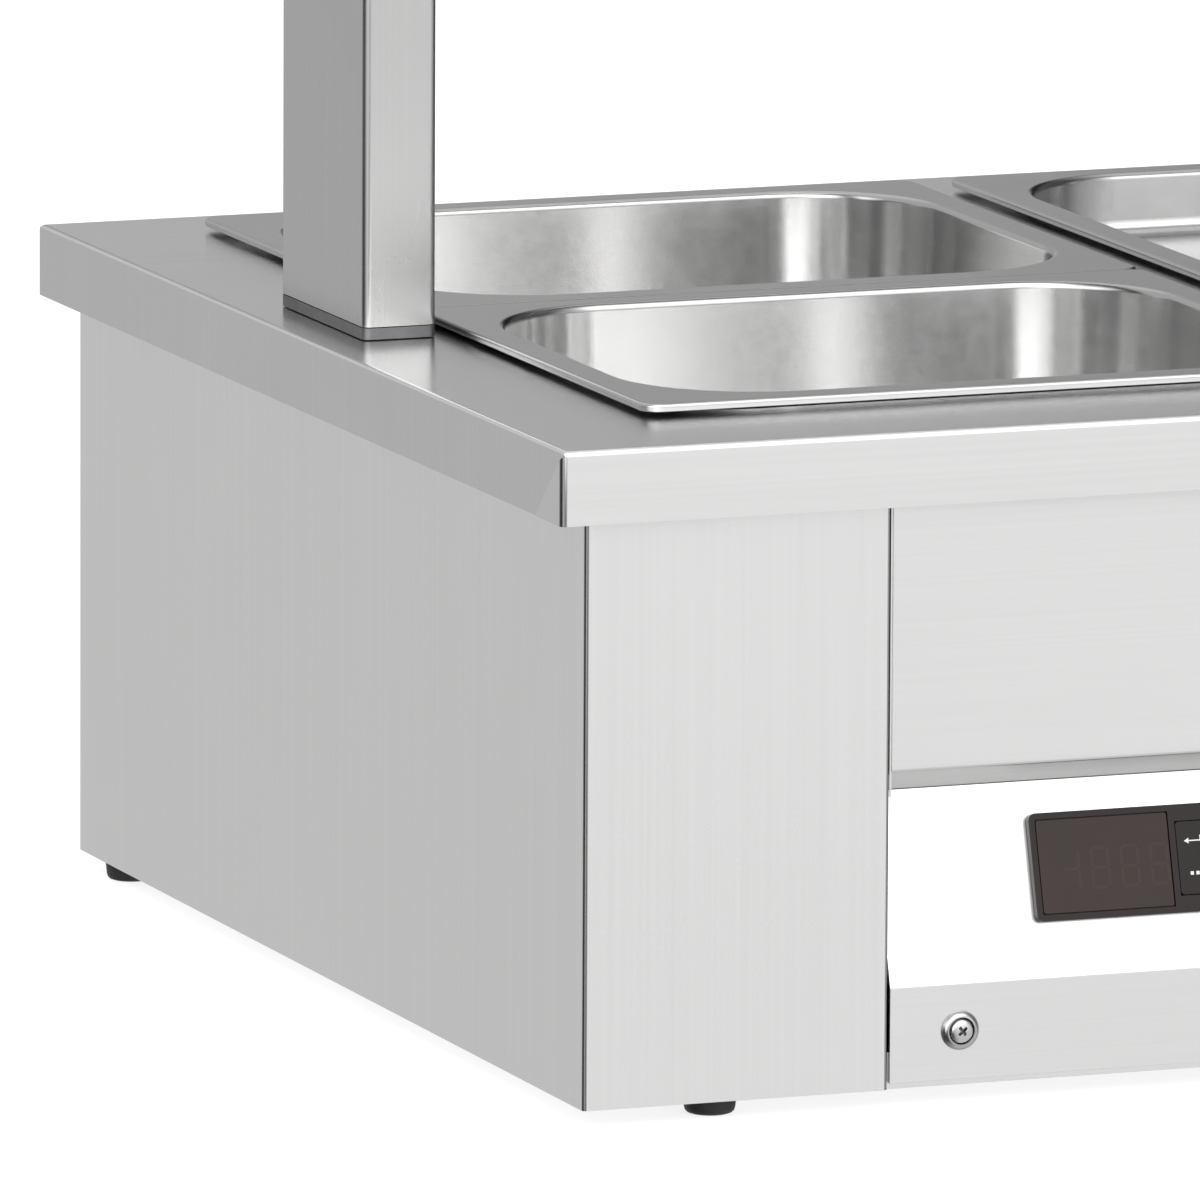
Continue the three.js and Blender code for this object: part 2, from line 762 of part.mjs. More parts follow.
function makeInsulation() {
  const inner = WELL_HALF_WIDTH + SHEET + SLACK;
  const front = WELL_FRONT - SHEET - SLACK;
  const rear = WELL_REAR + SHEET + SLACK;
  const outer = boxBetween(
    [-inner - INSULATION, front - INSULATION, slabBottom],
    [inner + INSULATION, rear + INSULATION, insulationTop],
  );
  const hollow = boxBetween([-inner, front, slabTop], [inner, rear, insulationTop + STUB]);
  const drain = [DRAIN_X, DRAIN_Y];
  const drainHole = rod('z', drain, DRAIN_PIPE + 2 * SLACK, slabBottom - STUB, slabTop + STUB);
  const probeHole = rod(
    'y',
    [PROBE_X, PROBE_Z],
    PROBE_HEAD_HOLE,
    front - INSULATION - STUB,
    front + STUB,
    FEW_SIDES,
  );
  return cut(outer, hollow, drainHole, probeHole);
}

addPart('well_insulation', makeInsulation(), FINISH.wool);

function circleShape(radius, sides) {
  const points = [];
  for (let i = 0; i < sides; i += 1) {
    const angle = (i * 2 * Math.PI) / sides;
    points.push([radius * Math.cos(angle), radius * Math.sin(angle)]);
  }
  return polygon(points);
}

function sweep(shape, curve, steps) {
  return new THREE.ExtrudeGeometry(shape, { steps, extrudePath: curve, bevelEnabled: false });
}

const ELEMENT = {
  radius: 4.2,
  halfGap: 60,
  front: -210,
  middle: -30,
  bendStart: 150,
  drop: 6,
  sides: 8,
  steps: 26,
};

// A hairpin heating rod under the well.
function makeElement(x) {
  const { radius, halfGap, front, middle, bendStart, drop, sides, steps } = ELEMENT;
  const at = (across, y) => new THREE.Vector3(x + across, y, wellBottom - drop);
  const points = [at(-halfGap, front), at(-halfGap, middle)];
  for (let i = 0; i <= 4; i += 1) {
    const angle = Math.PI - (i * Math.PI) / 4;
    points.push(at(halfGap * Math.cos(angle), bendStart + halfGap * Math.sin(angle)));
  }
  points.push(at(halfGap, middle), at(halfGap, front));
  const curve = new THREE.CatmullRomCurve3(points, false, 'centripetal');
  return sweep(circleShape(radius, sides), curve, steps);
}

['left', 'middle', 'right'].forEach((label, i) => {
  addPart(`heating_element_${label}`, makeElement(SLOTS[i]), FINISH.element);
});

// ---- drain pipe, recess and ball valve

const PIPE_BEND = 20;
const PIPE_STEPS = 14;
const pipeEnd = VALVE_Y - VALVE_HALF_LENGTH - GAP;

function makeDrainPipe() {
  const start = wellBottom - SPIGOT - GAP;
  const path = new THREE.CurvePath();
  const at = (y, z) => new THREE.Vector3(DRAIN_X, y, z);
  const above = at(DRAIN_Y, VALVE_Z + PIPE_BEND);
  const corner = at(DRAIN_Y, VALVE_Z);
  const beyond = at(DRAIN_Y + PIPE_BEND, VALVE_Z);
  path.add(new THREE.LineCurve3(at(DRAIN_Y, start), above));
  path.add(new THREE.QuadraticBezierCurve3(above, corner, beyond));
  path.add(new THREE.LineCurve3(beyond, at(pipeEnd, VALVE_Z)));
  const ring = circleShape(DRAIN_PIPE, FEW_SIDES);
  const bore = circleShape(DRAIN_BORE, FEW_SIDES);
  ring.holes.push(new THREE.Path(bore.getPoints().reverse()));
  return sweep(ring, path, PIPE_STEPS);
}

addPart('drain_pipe', makeDrainPipe(), FINISH.polished);

function makeRecess() {
  const outer = boxBetween(RECESS_LOW, RECESS_HIGH);
  const hollow = boxBetween(
    RECESS_LOW.map((value) => value + SHEET),
    [RECESS_HIGH[0] - SHEET, RECESS_HIGH[1] + STUB, RECESS_HIGH[2] - SHEET],
  );
  const inlet = rod(
    'y',
    [DRAIN_X, VALVE_Z],
    DRAIN_PIPE + GAP,
    RECESS_LOW[1] - STUB,
    RECESS_LOW[1] + 2 * SHEET,
  );
  return cut(outer, hollow, inlet);
}

addPart('drain_recess', makeRecess(), FINISH.brushed);

const STEM = { radius: 4, bottom: BALL_RADIUS + GAP, top: 27 };
const LEVER = { width: 14, thickness: 3, length: 42, tail: 9, low: 22, tip: 3 };
const GRIP = { start: 14, wall: 2.2 };
const BELLY = { radius: 17, half: 14, taper: 7 };

function makeValveBody() {
  const seat = BALL_RADIUS + GAP;
  const half = VALVE_HALF_LENGTH;
  const opening = Math.asin(DRAIN_BORE / seat);
  const cavity = [];
  for (let i = 0; i <= 6; i += 1) {
    const angle = opening + ((Math.PI - 2 * opening) * i) / 6;
    cavity.push([seat * Math.sin(angle), seat * Math.cos(angle)]);
  }
  const body = turned([
    [DRAIN_BORE, -half],
    [DRAIN_PIPE, -half],
    [DRAIN_PIPE, -BELLY.half - BELLY.taper],
    [BELLY.radius, -BELLY.half],
    [BELLY.radius, BELLY.half],
    [DRAIN_PIPE, BELLY.half + BELLY.taper],
    [DRAIN_PIPE, half],
    [DRAIN_BORE, half],
    ...cavity,
    [DRAIN_BORE, -half],
  ]);
  return cut(body, rod('z', [0, 0], STEM.radius + GAP, 0, STEM.top));
}

const valve = new THREE.Group();
valve.position.set(DRAIN_X, VALVE_Y, VALVE_Z);
unit.add(valve);

addPart('drain_valve_body', makeValveBody(), FINISH.brass, valve);

// Shut: the ball's bore and the lever lie across the pipe.
const ball = cut(
  new THREE.SphereGeometry(BALL_RADIUS, 16, 10),
  rod('x', [0, 0], DRAIN_BORE, -2 * BALL_RADIUS, 2 * BALL_RADIUS),
);
addPart('drain_valve_ball', ball, FINISH.polished, valve);
const stem = rod('z', [0, 0], STEM.radius, STEM.bottom, STEM.top, FEW_SIDES);
addPart('drain_valve_stem', stem, FINISH.polished, valve);

const leverHigh = LEVER.low + LEVER.thickness;
const leverTip = LEVER.length - LEVER.tip;
const leverBar = cut(
  boxBetween([-LEVER.tail, -LEVER.width / 2, LEVER.low], [leverTip, LEVER.width / 2, leverHigh]),
  rod('z', [0, 0], STEM.radius + GAP, LEVER.low - STUB, leverHigh + STUB, FEW_SIDES),
);
addPart('drain_valve_lever', leverBar, FINISH.brushed, valve);

const gripHalf = LEVER.width / 2 + GAP;
const gripBlock = boxBetween(
  [GRIP.start, -gripHalf - GRIP.wall, LEVER.low - GAP - GRIP.wall],
  [LEVER.length, gripHalf + GRIP.wall, leverHigh + GAP + GRIP.wall],
);
const gripSocket = boxBetween(
  [GRIP.start - STUB, -gripHalf, LEVER.low - GAP],
  [leverTip + GAP, gripHalf, leverHigh + GAP],
);
addPart('drain_valve_grip', cut(gripBlock, gripSocket), FINISH.redGrip, valve);

// ---- electrical pieces inside the base

const traySurface = FOOT_HEIGHT + SHEET + GAP;

const TERMINALS = { ways: 5, pitch: 12, gap: 3, height: 20, notch: 12, depth: 24, at: [-460, 200] };

function makeTerminalBlock() {
  const { ways, pitch, gap, height, notch, depth } = TERMINALS;
  const comb = [[0, 0]];
  for (let i = 0; i < ways; i += 1) {
    const x = i * pitch;
    comb.push([x, height], [x + pitch - gap, height], [x + pitch - gap, notch], [x + pitch, notch]);
  }
  comb.push([ways * pitch, 0]);
  return prism(polygon(comb.reverse()), 'y', 0, depth);
}

const terminals = makeTerminalBlock().translate(...TERMINALS.at, traySurface);
addPart('terminal_block', terminals, FINISH.ivory);

const RELAY = { depth: 36, at: [-380, -190] };
const relaySection = polygon([
  [0, 0],
  [60, 0],
  [60, 28],
  [46, 28],
  [46, 48],
  [14, 48],
  [14, 28],
  [0, 28],
]);
const relay = prism(relaySection, 'y', 0, RELAY.depth).translate(...RELAY.at, traySurface);
addPart('power_relay', relay, FINISH.ivory);

const THERMOSTAT_TALL = 11;
const THERMOSTAT = [
  [0, 0],
  [8, 0],
  [8, 3],
  [12, 3],
  [12, 9.5],
  [14, 9.5],
  [14, THERMOSTAT_TALL],
  [0, THERMOSTAT_TALL],
];
addPart(
  'safety_thermostat',
  turned(THERMOSTAT)
    .rotateX(Math.PI / 2)
    .translate(SLOT_PITCH / 2, 0, wellBottom - THERMOSTAT_TALL - GAP),
  FINISH.blackPlastic,
);

const PROBE = [
  [0, -14],
  [5, -14],
  [5, -2],
  [3, -2],
  [3, 44],
  [2, 46],
  [0, 46],
];
const probe = turned(PROBE, FEW_SIDES).translate(PROBE_X, WELL_FRONT, PROBE_Z);
addPart('temperature_probe', probe, FINISH.polished);

// ---- pans

const PAN_SHEET = 1;
const WALL_INSET = 15.6; // rim's edge to the top of the wall
const WALL_TOP = 3; // rim's top to the top of the wall
const RIM_FOOT = 1.9; // the rim's turned edge ends this far above the counter
const FLOOR_CORNER = 54; // corner radii of the outline at the floor, wall and rim
const WALL_CORNER = 58;
const THROAT_CORNER = 60;
const RIM_CORNER = 8;
const FILLET_SHARES = [1, 0.66, 0.33, 0];

// A pressed pan hanging by its rim: each loop is [inset from the rim's edge, height above the
// counter, corner radius].
function makePan(width, length, depth, floorRadius, draft) {
  const sheet = PAN_SHEET;
  const top = PAN_RIM_TOP;
  const floor = top - depth;
  const floorInset = WALL_INSET + draft;
  const fillet = (thickness) =>
    FILLET_SHARES.map((share) => {
      const angle = (share * Math.PI) / 2;
      const radius = floorRadius + thickness;
      const reach = radius * (1 - Math.cos(angle));
      const rise = radius * (1 - Math.sin(angle));
      return [floorInset - thickness + reach, floor - thickness + rise, FLOOR_CORNER - reach / 2];
    });
  const profile = [
    ...fillet(sheet),
    [WALL_INSET - sheet, top - WALL_TOP, WALL_CORNER + sheet],
    [12.4, top - sheet, THROAT_CORNER],
    [2.2, top - sheet, RIM_CORNER - 1],
    [2.2, RIM_FOOT + 0.4, RIM_CORNER - 1],
    [1.7, RIM_FOOT, RIM_CORNER - 1],
    [0, RIM_FOOT + 0.8, RIM_CORNER],
    [0, top - 1.2, RIM_CORNER],
    [0.4, top - 0.4, RIM_CORNER],
    [1.4, top, RIM_CORNER - 1],
    [13, top, THROAT_CORNER],
    [14.6, top - 0.6, THROAT_CORNER - 0.6],
    [15.3, top - 1.6, THROAT_CORNER - 1.4],
    [WALL_INSET, top - WALL_TOP, WALL_CORNER],
    ...fillet(0).reverse(),
  ];
  return loft(
    profile.map(([edge, z, radius]) =>
      rectangleLoop(width / 2 - edge, length / 2 - edge, radius, z),
    ),
  );
}

const panWidth = SLOT_WIDTH - PAN_CLEARANCE;
const halfPanLength = SLOT_LENGTH / 2 - PAN_CLEARANCE;
const halfPanOffset = SLOT_LENGTH / 4;
const panLength = SLOT_LENGTH - PAN_CLEARANCE;
const DEEP = { depth: DEEP_PAN, floorRadius: 16, draft: 4 };
const SHALLOW = { depth: TRAY_PAN, floorRadius: 7, draft: 1.5 };
const PANS = [
  ['pan_front_left', SLOTS[0], SLOT_MIDDLE_Y - halfPanOffset, halfPanLength, DEEP],
  ['pan_rear_left', SLOTS[0], SLOT_MIDDLE_Y + halfPanOffset, halfPanLength, DEEP],
  ['pan_middle', SLOTS[1], SLOT_MIDDLE_Y, panLength, SHALLOW],
  ['pan_right', SLOTS[2], SLOT_MIDDLE_Y, panLength, SHALLOW],
];
for (const [name, x, y, length, { depth, floorRadius, draft }] of PANS) {
  const mesh = addPart(name, makePan(panWidth, length, depth, floorRadius, draft), FINISH.polished);
  mesh.position.set(x, y, counterTop);
}

// ---- gantry: posts, hood, lamps and glass shelf

const ANCHOR = { half: 17, thickness: 4, outward: 1.5 };
const HOOD_BEND = 4;
const REFLECTOR = {
  flare: 50,
  roof: 30,
  height: 22,
  top: hoodTop - 12,
  thickness: 1,
  bend: 3,
  endGap: 6,
};
const LAMP_TUBE = { radius: 5, capRadius: 7, cap: 22, drop: 18, halfGap: 7 };
const SHELF_SUPPORT = { inset: 80, endInset: 20, half: 10, corner: 5 };
const SHELF_CORNER = 12;

function postSection(side) {
  const x0 = side * postX - POST_WIDTH / 2;
  const y0 = POST_MIDDLE_Y - POST_DEPTH / 2;
  const x1 = x0 + POST_WIDTH;
  const y1 = y0 + POST_DEPTH;
  const section = roundedRectangle(x0, y0, x1, y1, POST_CORNER);
  const bore = roundedRectangle(
    x0 + POST_WALL,
    y0 + POST_WALL,
    x1 - POST_WALL,
    y1 - POST_WALL,
    POST_CORNER - POST_WALL,
  );
  section.holes.push(new THREE.Path(bore.getPoints(3).reverse()));
  return section;
}

const postBottom = counterTop + POST_FOOT_HEIGHT;
for (const [label, side] of SIDES) {
  const foot = prism(postSection(side), 'z', counterTop + GAP, postBottom - GAP);
  addPart(`post_foot_${label}`, foot, FINISH.darkTrim);
  const post = prism(postSection(side), 'z', postBottom, hoodTop - SHEET - GAP);
  addPart(`post_${label}`, post, FINISH.brushed);
  const anchorX = side * (postX + ANCHOR.outward);
  const anchor = boxBetween(
    [anchorX - ANCHOR.half, POST_MIDDLE_Y - POST_DEPTH / 2, underCounter - ANCHOR.thickness],
    [anchorX + ANCHOR.half, POST_MIDDLE_Y + POST_DEPTH / 2, underCounter],
  );
  addPart(`post_anchor_${label}`, anchor, FINISH.brushed);
}

function makeHood() {
  const half = postX + POST_WIDTH / 2 + GAP + SHEET;
  const front = POST_MIDDLE_Y - HOOD_DEPTH / 2;
  const rear = POST_MIDDLE_Y + HOOD_DEPTH / 2;
  const cover = roundedRectangle(front, hoodBottom - 2 * HOOD_BEND, rear, hoodTop, HOOD_BEND);
  const block = common(
    prism(cover, 'x', -half, half),
    boxBetween([-half, front, hoodBottom], [half, rear, hoodTop]),
  );
  const hollow = boxBetween(
    [-half + SHEET, front + SHEET, hoodBottom - STUB],
    [half - SHEET, rear - SHEET, hoodTop - SHEET],
  );
  return cut(block, hollow);
}

addPart('lamp_hood', makeHood(), FINISH.brushed);

const reflectorSection = bentSheet(
  [
    [POST_MIDDLE_Y + REFLECTOR.flare, REFLECTOR.top - REFLECTOR.height],
    [POST_MIDDLE_Y + REFLECTOR.roof, REFLECTOR.top],
    [POST_MIDDLE_Y - REFLECTOR.roof, REFLECTOR.top],
    [POST_MIDDLE_Y - REFLECTOR.flare, REFLECTOR.top - REFLECTOR.height],
  ],
  REFLECTOR.thickness,
  REFLECTOR.bend,
);
const lampEnd = postX - POST_WIDTH / 2 - REFLECTOR.endGap;
addPart('lamp_reflector', prism(reflectorSection, 'x', -lampEnd, lampEnd), FINISH.reflector);

const { radius: tubeRadius, capRadius, cap, drop: lampDrop, halfGap: lampGap } = LAMP_TUBE;
const lampLength = lampEnd - 2 * lampGap;
const LAMP = [
  [0, 0],
  [capRadius, 0],
  [capRadius, cap],
  [tubeRadius, cap],
  [tubeRadius, lampLength - cap],
  [capRadius, lampLength - cap],
  [capRadius, lampLength],
  [0, lampLength],
];
for (const [label, side] of SIDES) {
  const start = side < 0 ? -lampGap : lampGap + lampLength;
  const lamp = turned(LAMP, FEW_SIDES).rotateZ(Math.PI / 2);
  lamp.translate(start, POST_MIDDLE_Y, REFLECTOR.top - lampDrop);
  addPart(`heat_lamp_${label}`, lamp, FINISH.quartz);
}

const supportTop = hoodTop + GAP + SHELF_SUPPORT_HEIGHT;
for (const [label, side] of SIDES) {
  const { inset: supportInset, endInset, half, corner } = SHELF_SUPPORT;
  const x = side * (postX - supportInset);
  const front = POST_MIDDLE_Y - SHELF_DEPTH / 2 + endInset;
  const rear = POST_MIDDLE_Y + SHELF_DEPTH / 2 - endInset;
  const outline = roundedRectangle(x - half, front, x + half, rear, corner);
  const bar = prism(outline, 'z', hoodTop + GAP, supportTop);
  addPart(`shelf_support_${label}`, bar, FINISH.brushed);
}

const shelfHalf = postX + POST_WIDTH / 2;
const shelfShape = roundedRectangle(
  -shelfHalf,
  POST_MIDDLE_Y - SHELF_DEPTH / 2,
  shelfHalf,
  POST_MIDDLE_Y + SHELF_DEPTH / 2,
  SHELF_CORNER,
);
const shelf = prism(shelfShape, 'z', supportTop + GAP, supportTop + GAP + SHELF_THICKNESS);
addPart('glass_shelf', shelf, FINISH.glass);

export default unit;
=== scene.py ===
# Looks of a counter-top heated serving unit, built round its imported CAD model.
#
# Shapes are worked out in millimetres in the model's own frame (+Z up, operator at -Y) and turned
# into metres when a piece is made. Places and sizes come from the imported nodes' boxes.

import json
import math

import bmesh
import bpy
from mathutils import Matrix, Vector


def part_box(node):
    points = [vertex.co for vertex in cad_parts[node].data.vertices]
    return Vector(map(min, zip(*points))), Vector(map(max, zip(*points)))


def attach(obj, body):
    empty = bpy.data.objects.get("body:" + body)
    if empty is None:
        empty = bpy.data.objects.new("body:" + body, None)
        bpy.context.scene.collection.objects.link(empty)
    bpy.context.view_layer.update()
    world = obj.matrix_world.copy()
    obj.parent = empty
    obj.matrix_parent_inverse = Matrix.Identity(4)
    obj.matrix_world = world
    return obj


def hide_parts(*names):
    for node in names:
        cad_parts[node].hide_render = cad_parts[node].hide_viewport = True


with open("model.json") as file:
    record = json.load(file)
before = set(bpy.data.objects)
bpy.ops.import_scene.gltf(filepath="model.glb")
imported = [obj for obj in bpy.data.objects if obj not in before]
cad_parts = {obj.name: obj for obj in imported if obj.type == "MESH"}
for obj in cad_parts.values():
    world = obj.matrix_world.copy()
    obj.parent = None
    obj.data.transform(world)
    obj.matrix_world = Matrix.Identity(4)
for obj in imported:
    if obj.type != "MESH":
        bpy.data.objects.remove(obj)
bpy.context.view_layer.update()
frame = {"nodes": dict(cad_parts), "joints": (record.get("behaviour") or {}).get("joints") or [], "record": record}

MM = 0.001
SIDES = ("left", "right")

BODY_OF = {
    node: body
    for body, nodes in frame["record"]["behaviour"]["bodies"].items()
    for node in nodes
}


# ---------------------------------------------------------------- node trees


def add_node(tree, kind, inputs=None, **settings):
    """Adds a node, sets its properties, and fills each named input with a value or a link."""
    made = tree.nodes.new(kind)
    for key, value in settings.items():
        setattr(made, key, value)
    for key, value in (inputs or {}).items():
        if isinstance(value, bpy.types.NodeSocket):
            tree.links.new(value, made.inputs[key])
        else:
            made.inputs[key].default_value = value
    return made


def noise(tree, scale, detail=3.0, roughness=0.55, distortion=0.0):
    """Noise over the object's own coordinates: scale is features per metre along X, Y and Z."""
    place = add_node(tree, "ShaderNodeTexCoord")
    stretch = add_node(
        tree, "ShaderNodeMapping", {"Vector": place.outputs["Object"], "Scale": scale}
    )
    made = add_node(
        tree,
        "ShaderNodeTexNoise",
        {
            "Vector": stretch.outputs["Vector"],
            "Scale": 1.0,
            "Detail": detail,
            "Roughness": roughness,
            "Distortion": distortion,
        },
    )
    return made.outputs["Fac"]


def even(scale):
    """The same number of features per metre along X, Y and Z."""
    return (scale,) * 3


def spread(tree, value, low, high, start=0.3, stop=0.7):
    """A value's middle range stretched to low..high."""
    made = add_node(
        tree,
        "ShaderNodeMapRange",
        {"Value": value, "From Min": start, "From Max": stop, "To Min": low, "To Max": high},
    )
    return made.outputs["Result"]


def maths(tree, operation, first, second):
    made = add_node(tree, "ShaderNodeMath", {0: first, 1: second}, operation=operation)
    return made.outputs["Value"]


def blend_colours(tree, share, first, second):
    made = add_node(
        tree,
        "ShaderNodeMix",
        {"Factor": share, "A": (*first, 1.0), "B": (*second, 1.0)},
        data_type="RGBA",
    )
    return made.outputs["Result"]


def new_material(name, preview):
    material = bpy.data.materials.new(name)
    material.use_nodes = True
    material.diffuse_color = (*preview, 1.0)
    tree = material.node_tree
    tree.nodes.clear()
    return material, tree


def close_tree(tree, shader):
    add_node(tree, "ShaderNodeOutputMaterial", {"Surface": shader.outputs["BSDF"]})


# ---------------------------------------------------------------- materials

# Brush marks and rolling bands per metre, across the grain and along it.
HAIRLINES = (420, 3)
BANDS = (150, 1.2)
CLOUDS = 6.0
CLOUD_LIGHT = 0.0024  # share of twice the tone
MATT_CLOUDING = 0.03  # how far the clouds and the bands move the roughness either way
MATT_BANDING = 0.01
# Faces turned towards -X get painted shade; the next numbers set where it starts and is complete.
TURN_FADE = (0.05, 0.6)  # how far a face has turned where the end's fade starts and is complete


def grain_scale(axis, counts):
    """Features per metre along X, Y and Z for a grain that runs along one axis."""
    across, along = counts
    return tuple(along if axis == name else across for name in "XYZ")


def end_painted_shade(tree, painted_end_shade_tone):
    """Painted shade: falls from 0 on faces that don't look towards -X to (the end's tone - 1) / 2 on those that
    do.
    """
    place = add_node(tree, "ShaderNodeTexCoord")
    turn = add_node(
        tree,
        "ShaderNodeVectorMath",
        {0: place.outputs["Normal"], 1: (-1.0, 0.0, 0.0)},
        operation="DOT_PRODUCT",
    )
    return spread(tree, turn.outputs["Value"], 0.0, (painted_end_shade_tone - 1) / 2, *TURN_FADE)


def wobble(tree, value, amount):
    """A value's middle range stretched to an equal amount either side of nothing."""
    return spread(tree, value, -amount, amount)


def brushed_steel(name, grain, tone, roughness, hairline=0.008, band=0.0024, bump=0.0, painted_end_shade_tone=1.0):
    """Stainless sheet with a directional grain, faint rolling bands and hand-wiped clouding.
    hairline and band are shares of twice the tone. Faces turned towards -X fade, as painted
    shade, to the end's share of the tone. A bump of 0 leaves the grain to colour and roughness."""
    material, tree = new_material(name, (tone,) * 3)
    lines = noise(tree, grain_scale(grain, HAIRLINES), detail=1.5, roughness=0.5)
    bands = noise(tree, grain_scale(grain, BANDS), detail=2.0)
    clouds = noise(tree, even(CLOUDS), detail=4.0, distortion=0.6)
    light = maths(tree, "ADD", wobble(tree, lines, hairline), wobble(tree, bands, band))
    light = maths(tree, "ADD", light, wobble(tree, clouds, CLOUD_LIGHT))
    share = maths(tree, "ADD", light, 0.5)
    # Painted shade on faces turned towards -X.
    if painted_end_shade_tone < 1.0:
        share = maths(tree, "ADD", share, end_painted_shade(tree, painted_end_shade_tone))
    black = (0.0, 0.0, 0.0)
    twice = (tone * 2, tone * 1.998, tone * 1.99)
    colour = blend_colours(tree, share, black, twice)
    matt = spread(tree, clouds, roughness - MATT_CLOUDING, roughness + MATT_CLOUDING)
    matt = maths(tree, "ADD", matt, wobble(tree, bands, MATT_BANDING))
    relief = add_node(
        tree, "ShaderNodeBump", {"Strength": bump, "Distance": 0.00003, "Height": lines}
    )
    shader = add_node(
        tree,
        "ShaderNodeBsdfPrincipled",
        {
            "Base Color": colour,
            "Metallic": 1.0,
            "Roughness": matt,
            "Normal": relief.outputs["Normal"],
        },
    )
    close_tree(tree, shader)
    return material


def worn_edge(name, tone, roughness):
    """The same steel where hands and cloths have rubbed its edges: brighter and smoother."""
    material, tree = new_material(name, (tone,) * 3)
    rubs = noise(tree, even(60.0), detail=3.0)
    share = spread(tree, rubs, 0.0, 1.0)
    colour = blend_colours(tree, share, (tone * 0.86,) * 3, (tone,) * 3)
    shader = add_node(
        tree,
        "ShaderNodeBsdfPrincipled",
        {
            "Base Color": colour,
            "Metallic": 1.0,
            "Roughness": spread(tree, rubs, roughness, roughness + 0.1),
        },
    )
    close_tree(tree, shader)
    return material


def plastic(name, dark, pale, roughness, grain=900.0, bump=0.12, coat=0.0, specular=0.5):
    """Moulded plastic or rubber: a fine spark-eroded texture and uneven sheen."""
    material, tree = new_material(name, dark)
    pebbles = noise(tree, even(grain), detail=3.0)
    patches = noise(tree, even(35.0), detail=3.0)
    share = spread(tree, patches, 0.0, 1.0)
    relief = add_node(
        tree, "ShaderNodeBump", {"Strength": bump, "Distance": 0.00005, "Height": pebbles}
    )
    shader = add_node(
        tree,
        "ShaderNodeBsdfPrincipled",
        {
            "Base Color": blend_colours(tree, share, dark, pale),
            "Roughness": spread(tree, patches, roughness - 0.05, roughness + 0.05),
            "Normal": relief.outputs["Normal"],
            "Specular IOR Level": specular,
            "Coat Weight": coat,
            "Coat Roughness": 0.08,
        },
    )
    close_tree(tree, shader)
    return material


def wool(name):
    """Pressed mineral wool: soft lumps with fibres over them."""
    material, tree = new_material(name, (0.48, 0.41, 0.2))
    lumps = noise(tree, even(90.0), detail=6.0, roughness=0.7)
    fibres = noise(tree, (1500.0, 260.0, 700.0), detail=4.0, distortion=1.5)
    height = maths(tree, "ADD", lumps, fibres)
    relief = add_node(
        tree, "ShaderNodeBump", {"Strength": 0.9, "Distance": 0.0012, "Height": height}
    )
    share = spread(tree, fibres, 0.0, 1.0)
    colour = blend_colours(tree, share, (0.36, 0.29, 0.13), (0.62, 0.55, 0.32))
    shader = add_node(
        tree,
        "ShaderNodeBsdfPrincipled",
        {"Base Color": colour, "Roughness": 0.95, "Normal": relief.outputs["Normal"]},
    )
    close_tree(tree, shader)
    return material


def tinted_metal(name, dark, pale, roughness):
    """Cast or drawn metal with patches of tarnish."""
    material, tree = new_material(name, pale)
    patches = noise(tree, even(40.0), detail=5.0, roughness=0.6)
    grains = noise(tree, even(720.0), detail=3.0)
    relief = add_node(
        tree, "ShaderNodeBump", {"Strength": 0.2, "Distance": 0.00006, "Height": grains}
    )
    shader = add_node(
        tree,
        "ShaderNodeBsdfPrincipled",
        {
            "Base Color": blend_colours(tree, spread(tree, patches, 0.0, 1.0), dark, pale),
            "Metallic": 1.0,
            "Roughness": spread(tree, patches, roughness + 0.12, roughness - 0.04),
            "Normal": relief.outputs["Normal"],
        },
    )
    close_tree(tree, shader)
    return material


def glass(name, tint, roughness=0.0):
    """Clear glass with a faint film on it."""
    material, tree = new_material(name, tint)
    film = noise(tree, even(14.0), detail=4.0)
    filmed = [min(1.0, channel * 1.03) for channel in tint]
    shader = add_node(
        tree,
        "ShaderNodeBsdfPrincipled",
        {
            "Base Color": blend_colours(tree, spread(tree, film, 0.0, 1.0), tint, filmed),
            "Roughness": spread(tree, film, roughness, roughness + 0.03),
            "IOR": 1.5,
            "Transmission Weight": 1.0,
        },
    )
    close_tree(tree, shader)
    return material


def floor_paint(name):
    """A white floor that glows a little, so that shadows on it stay faint."""
    material, tree = new_material(name, (0.93,) * 3)
    clouds = noise(tree, even(0.8), detail=3.0)
    shader = add_node(
        tree,
        "ShaderNodeBsdfPrincipled",
        {
            "Base Color": blend_colours(tree, clouds, (0.325,) * 3, (0.335,) * 3),
            "Roughness": 0.9,
            "Specular IOR Level": 0.1,
            "Emission Color": (1.0, 1.0, 1.0, 1.0),
            "Emission Strength": 0.8,
        },
    )
    close_tree(tree, shader)
    return material


# Tones and roughnesses of the sheets. Each sheet's tone is set for the studio's light on it:
# the pans' steel is painted lighter, and the aprons, tabs, posts, folds, trays and rims darker,
# as painted light and shade.
STEEL = 0.70
PAN_GRAIN = {"hairline": 0.006, "band": 0.004}
TURNED_GRAIN = {"hairline": 0.012}
steel_x = brushed_steel("steel_grain_x", "X", STEEL, 0.30)
steel_z = brushed_steel("steel_grain_z", "Z", STEEL, 0.30)
steel_counter = brushed_steel("steel_counter", "X", STEEL, 0.22)
steel_apron_painted_shade = brushed_steel("steel_apron_painted_shade", "Z", 0.54, 0.3)
steel_tab_painted_shade = brushed_steel("steel_tab_painted_shade", "Z", 0.59, 0.3)
steel_post_side_painted_shade = brushed_steel("steel_post_side_painted_shade", "Z", 0.44, 0.28)
steel_post_front_painted_light = brushed_steel("steel_post_front_painted_light", "Z", 0.5, 0.28)
steel_fold_painted_shade = brushed_steel("steel_fold_painted_shade", "Z", 0.36, 0.2)
steel_y = brushed_steel("steel_grain_y", "Y", STEEL, 0.30)
steel_edge = worn_edge("steel_edge", 0.78, 0.2)
